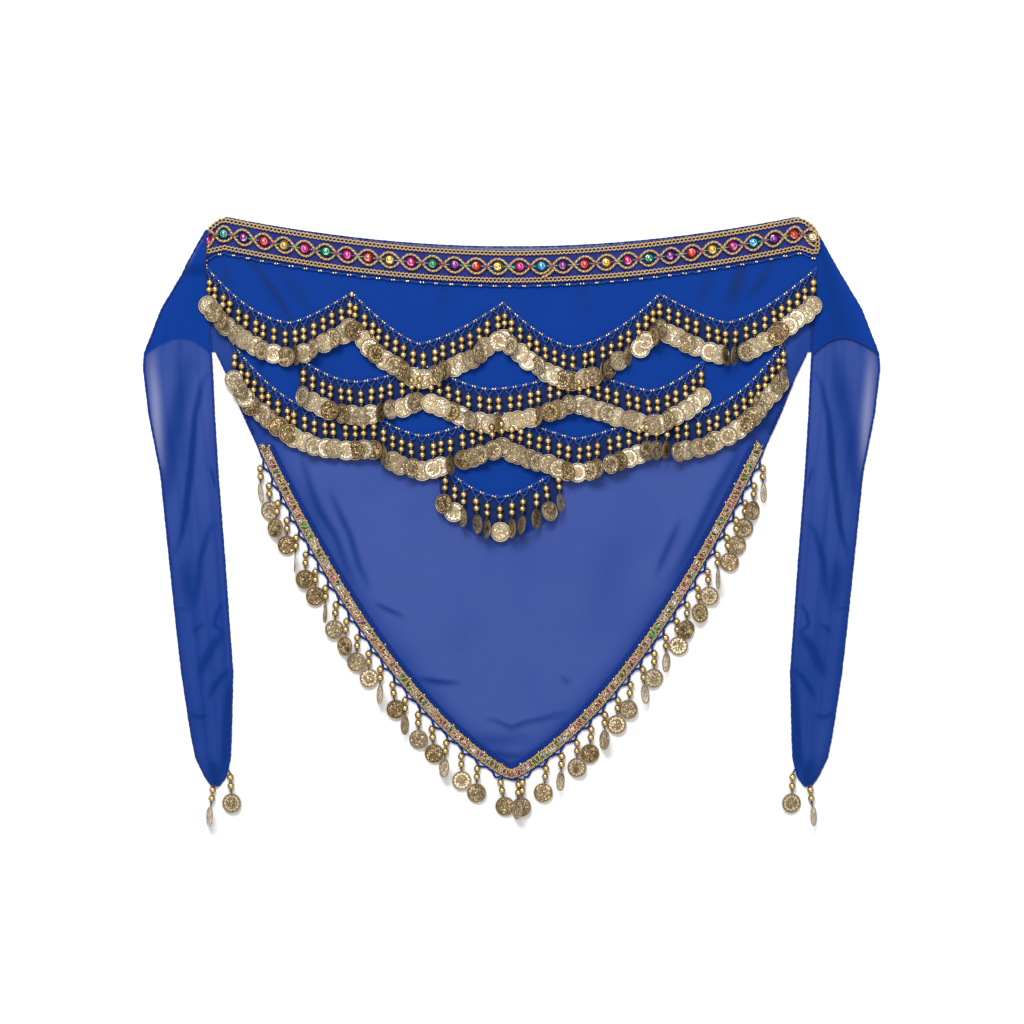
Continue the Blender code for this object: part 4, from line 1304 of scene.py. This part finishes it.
def make_braid(finishes, shapes):
    """Gold cords at both edges, gold lace crossing between them, and glass beads in the windows."""
    line, along = v_points(0.75)
    angles = np.arctan2(np.gradient(line[:, 1]), np.gradient(line[:, 0]))

    def on_line(at, across, height):
        angle = float(np.interp(at, along, angles))
        x, y = places_at(at, along, line)
        return (x - math.sin(angle) * across, y + math.cos(angle) * across, height), angle

    gold = []
    for side in (1, -1):
        scallop = 0.3 * np.sin(2 * np.pi * along / 4.7) + 0.2 * np.sin(2 * np.pi * along / 1.9)
        gold += plied(shifted(line, side * (3.5 + scallop), PANEL_Z + 1.9), 0.34, 0.44, 2.8, 5)
        wave = np.sin(2 * np.pi * along / 3.6 + side)
        gold.append(tube(shifted(line, side * (2.7 + 0.85 * wave), PANEL_Z + 2.2), 0.42, 5, LACE_TONE))
    glass, tints = {"bugle": [], "speck": []}, {"bugle": [], "speck": []}
    at, number = 3.0, 0
    while at < along[-1] - 4.0:
        pair = WINDOWS[number % len(WINDOWS)]
        length = chance.uniform(6.2, 8.6)
        number += 1
        filled = 0.5
        while filled < length - 0.9:
            kind = "bugle" if chance.uniform() < 0.35 else "speck"
            long = chance.uniform(2.3, 3.4) if kind == "bugle" else chance.uniform(1.3, 1.8)
            wide = 0.62 if kind == "bugle" else 0.72
            for across in (-1.35, 0.0, 1.35):
                place, angle = on_line(
                    at + filled + long / 2 + chance.normal(0, 0.18), across + chance.normal(0, 0.15),
                    PANEL_Z + 2.3 + chance.uniform(0, 0.35),
                )
                size = (long / 2, wide, wide)
                glass[kind].append(placed(*place, lean=angle + chance.normal(0, 0.12), scale=size))
                colour = np.array(WINDOW_COLOURS[pair[int(chance.uniform() < 0.4)]])
                tints[kind].append((*(colour * chance.choice([0.35, 0.8, 1.0, 1.1])), 1.0))
            filled += long + 0.2
        bars = [(length + 0.2, 0.9), (length + 0.9, -0.9), (length / 2, chance.choice([-1.2, 1.2]))]
        for cross, slant in bars:
            bar = [
                on_line(at + cross + slant * share, 3.2 * share, PANEL_Z + 2.2 + 1.1 * (1 - share**2))[0]
                for share in (-1.0, -0.5, 0.0, 0.5, 1.0)
            ]
            gold.append(tube(evenly(np.array(bar), 0.9)[0], 0.46, 5, BAR_TONE))
        at += length + 1.3
    gold += frayed_ends(line, angles)
    joined("edge_braid_gold", gold, finishes["gold_thread"], replaces=["edge_braid"])
    joined("edge_braid_bed", [braid_bed(line)], finishes["braid_bed"])
    sequins = [copies(shapes[kind], glass[kind], tints[kind]) for kind in glass]
    joined("edge_sequins", sequins, finishes["sequins"])


def frayed_ends(line, angles):
    """The tuft of gold threads at each end of the braid."""
    threads = []
    for end in (0, -1):
        for _ in range(9):
            angle = angles[end] + (math.pi if end == 0 else 0.0) + chance.normal(0, 0.45)
            start = np.array([*line[end], PANEL_Z + 1.8]) + (*chance.normal(0, 1.2, 2), 0)
            length = chance.uniform(2.5, 5.5)
            bend, tip = [
                start + (math.cos(turn) * reach, math.sin(turn) * reach, rise)
                for turn, reach, rise in ((angle, length / 2, 0.5), (angle + 0.3, length, 0.2))
            ]
            threads.append(tube(evenly(np.array([start, bend, tip]), 0.7)[0], 0.28))
    return threads


def braid_bed(line, sides=8):
    """The flat core under the lace: a round cord pressed wide and low."""
    core = shifted(line, 0.0, PANEL_Z + 0.95)
    cord = tube(core, 1.0, sides)
    across, middle = np.repeat(sideways(line), sides, axis=0), np.repeat(core, sides, axis=0)
    away = ((cord.points[:, :2] - middle[:, :2]) * across).sum(1)
    points = middle + np.column_stack([across * (away * 3.5)[:, None], (cord.points - middle)[:, 2] * 0.45])
    return cord._replace(points=points)


def make_edging(finishes, shapes):
    """A blue crochet plait inside the braid, with a gold seed here and there."""
    line, along = v_points(0.75)
    phase = 2 * np.pi * along / 4.6
    plait = []
    for k in range(3):
        turn = phase + 2 * np.pi * k / 3
        offset = EDGING_OFFSET + 0.1 + 1.45 * np.sin(turn)
        strand = shifted(line, offset, PANEL_Z + 1.7 + 0.55 * np.sin(2 * turn + 0.5))
        plait.append(tube(strand, 0.85 + 0.12 * np.sin(2.7 * along + k), tint=STRAND_PAINTED_SHADE[k]))
    for offset, sway, beat in ((-1.5, 0.45, 1.7), (1.9, 0.5, 2.3)):
        wander = shifted(line, EDGING_OFFSET + offset + sway * np.sin(phase * beat), PANEL_Z + 1.4)
        plait.append(tube(wander, 0.55, 5, (0.8, 0.8, 0.8, 0.5)))
    for side in (-1, 1):
        y = np.linspace(78.0, 122.0, 60)
        x = np.interp(y, [62.5, 127.3], [218.5, 248.0])
        edge, _ = evenly(np.stack([side * x, y, np.full_like(y, PANEL_Z + 1.2)], axis=1), 0.7)
        plait += plied(edge, 0.7, 0.6, 4.0)
    joined("edge_crochet", plait, finishes["dark_crochet"], replaces=["edge_cord"])
    points, _ = evenly(shifted(line, 4.4, PANEL_Z + 2.4), 18.5)
    seeds = [placed(*(p + (*chance.normal(0, 0.35, 2), 0)), scale=(1.15, 1.15, 1.1)) for p in points]
    joined("edge_gold_seeds", [copies(shapes["seed"], seeds, GOLD_SEED)], finishes["beads"])


COIN_DEGREES = {"F": (4, 16), "T": (30, 44), "H": (60, 72), "E": (82, 85)}
# How bright turned coins are painted: painted light for how much light each turn catches.
TURNED_PAINTED_LIGHT = {"T": 0.15, "H": 0.6, "E": 0.4}


def fringe_stations(along):
    """Distances along the V at which the fringe's beads hang, and how far apart they are."""
    hanging = len(LEFT_COINS)
    tip = along[-1] / 2
    pitch = (tip - 8.0) / hanging
    left = tip - pitch * (np.arange(hanging) + 0.62)[::-1]
    right = tip + (tip - left)[::-1]
    return np.concatenate([left, [tip + 6.5], right]), pitch


def make_fringe(finishes, shapes):
    line, along = v_points(0.5)
    stations, pitch = fringe_stations(along)
    out = -sideways(line)
    hangers, beads = Hangers(), []
    for station, kind in zip(stations, LEFT_COINS + "H" + RIGHT_COINS):
        place = places_at(station, along, line)
        at_the_point = abs(place[0]) < 12
        bead = place + ((0, -11.5) if at_the_point else 11.0 * places_at(station, along, out))
        turn = math.radians(chance.uniform(*COIN_DEGREES[kind])) * chance.choice([-1, 1])
        tone = TURNED_PAINTED_LIGHT.get(kind, chance.choice([0.1, 0.3, 0.5]))
        lean = math.radians(chance.normal(0, 4.0))
        rough = chance.uniform(0.3, 1.0)
        hangers.add(*bead, 0.2, lean, turn, tone, rough, pitch=7.0, coin_from_bead=14.4)
        beads.append(bead)
    joined("fringe_beads", hangers.gold_parts(shapes), finishes["beads"])
    hangers.hang_coins("fringe_coins", finishes, shapes, ["fringe_left", "fringe_right"])
    make_picot_cord(finishes, stations, beads, pitch, hangers.knots)


def make_picot_cord(finishes, stations, beads, pitch, knots):
    """The blue cord outside the braid: it rises to a point over each pair of beads and ties to it."""
    line, along = v_points(0.75)
    outward = -sideways(line)
    nearest = np.abs(along[:, None] - stations[None]).min(axis=1)
    spike = np.clip(1 - nearest / (pitch / 2), 0, 1)
    reach = 4.9 + 3.6 * spike**1.7 - 0.3 * np.sin(along)
    cord = at_height(line + outward * reach[:, None], 1.3)
    inner = at_height(line + outward * (4.4 + 0.25 * np.sin(along * 2.1))[:, None], 1.5)
    parts = plied(cord, 0.6, 0.68, 3.2) + [tube(inner, 0.62, 5)]
    for station, bead in zip(stations, beads):
        start = places_at(station, along, cord)[:2]
        top = bead + (0, 2.4)
        middle = (start + bead + (0, 2.9)) / 2
        parts.append(tube(evenly(np.array([[*start, 1.4], [*middle, 2.0], [*top, 2.8]]), 0.8)[0], 0.5))
    joined("edge_picot_cord", parts + knots, finishes["dark_crochet"])


# Each drop's top bead, how far its coin has turned, how bright the coin is painted for the light it catches,
# its lean, and where its thread starts
TIE_DROPS = {
    "outer": (261.2, -233.6, 68.0, 0.75, 0.10, -1.0, 6.0),
    "inner": (245.6, -222.6, 12.0, 0.45, -0.04, 3.4, 9.5),
}


def make_drops(finishes, shapes):
    """Two beads and a coin at each corner of both tie ends."""
    for side, side_name in ((-1, "left"), (1, "right")):
        for which, (x, y, degrees, tone, lean, across, up) in TIE_DROPS.items():
            name = f"{side_name}_tie_drop_{which}"
            turn = math.radians(degrees) * side
            hangers = Hangers()
            hangers.add(side * x, y, 0.0, side * lean, turn, tone, 0.6, pitch=7.6, coin_from_bead=15.2)
            thread_run = np.array([[side * (x + across), y + up, 1.4], [side * x, y + 2.6, 2.8]])
            joined(f"{name}_beads", hangers.gold_parts(shapes), finishes["beads"], replaces=[name])
            hangers.hang_coins(f"{name}_coin", finishes, shapes)
            knots = plied(evenly(thread_run, 0.8)[0], 0.4, 0.45, 2.2) + hangers.knots
            joined(f"{name}_knot", knots, finishes["dark_crochet"])


# ---- floor, lights and camera ----


def make_stage():
    deselect()
    bpy.ops.mesh.primitive_plane_add(size=8.0, location=(0, 0, -0.0006))
    floor = bpy.context.object
    floor.name = "pale_floor"
    floor.data.materials.append(pale_floor())
    for name, place, size, power in (
        ("key_softbox", (-0.45, 1.75, 2.3), (1.3, 1.0), 80.0),
        ("overhead_softbox", (0.1, 0.05, 3.2), (2.2, 2.2), 26.0),
        ("low_fill", (0.9, -2.2, 1.6), (1.8, 0.8), 12.0),
    ):
        bpy.ops.object.light_add(type="AREA", location=place)
        lamp = bpy.context.object
        lamp.name = name
        lamp.data.shape = "RECTANGLE"
        lamp.data.size, lamp.data.size_y = size
        lamp.data.energy = power
        lamp.rotation_euler = (-Vector(place)).to_track_quat("-Z", "Y").to_euler()
    world = bpy.data.worlds.new("studio")
    world.use_nodes = True
    world.node_tree.nodes["Background"].inputs["Color"].default_value = (1, 1, 1, 1)
    world.node_tree.nodes["Background"].inputs["Strength"].default_value = 0.42
    bpy.context.scene.world = world
    bpy.context.scene.view_settings.view_transform = "Standard"


def make_camera():
    bpy.ops.object.camera_add(location=(0.0004, 0.0092, 2.4889))
    camera = bpy.context.object
    camera.data.lens = 100.0
    camera.data.sensor_width = 36.0
    bpy.context.scene.camera = camera


def main():
    for name in ("Cube", "Light", "Camera"):
        if name in bpy.data.objects:
            bpy.data.objects.remove(bpy.data.objects[name])
    finishes = make_finishes()
    shapes = {
        "coin": coin_shape(), "bead": bead_shape(), "seed": bead_shape(8, 6), "speck": bead_shape(6, 4),
        "spacer": ring_shape(1.0, 0.36, math.pi / 2), "ring": ring_shape(1.15, 0.32, 0.0),
        "bugle": bugle_shape(),
    }
    make_panels(finishes)
    make_hems(finishes, make_ties(finishes))
    make_ribbon(finishes)
    make_chains(finishes)
    make_ropes(finishes)
    make_stones(finishes, shapes)
    make_waist_cord(finishes, shapes)
    for sewn_on in (make_rows, make_braid, make_edging, make_fringe, make_drops):
        sewn_on(finishes, shapes)
    make_stage()
    make_camera()


main()
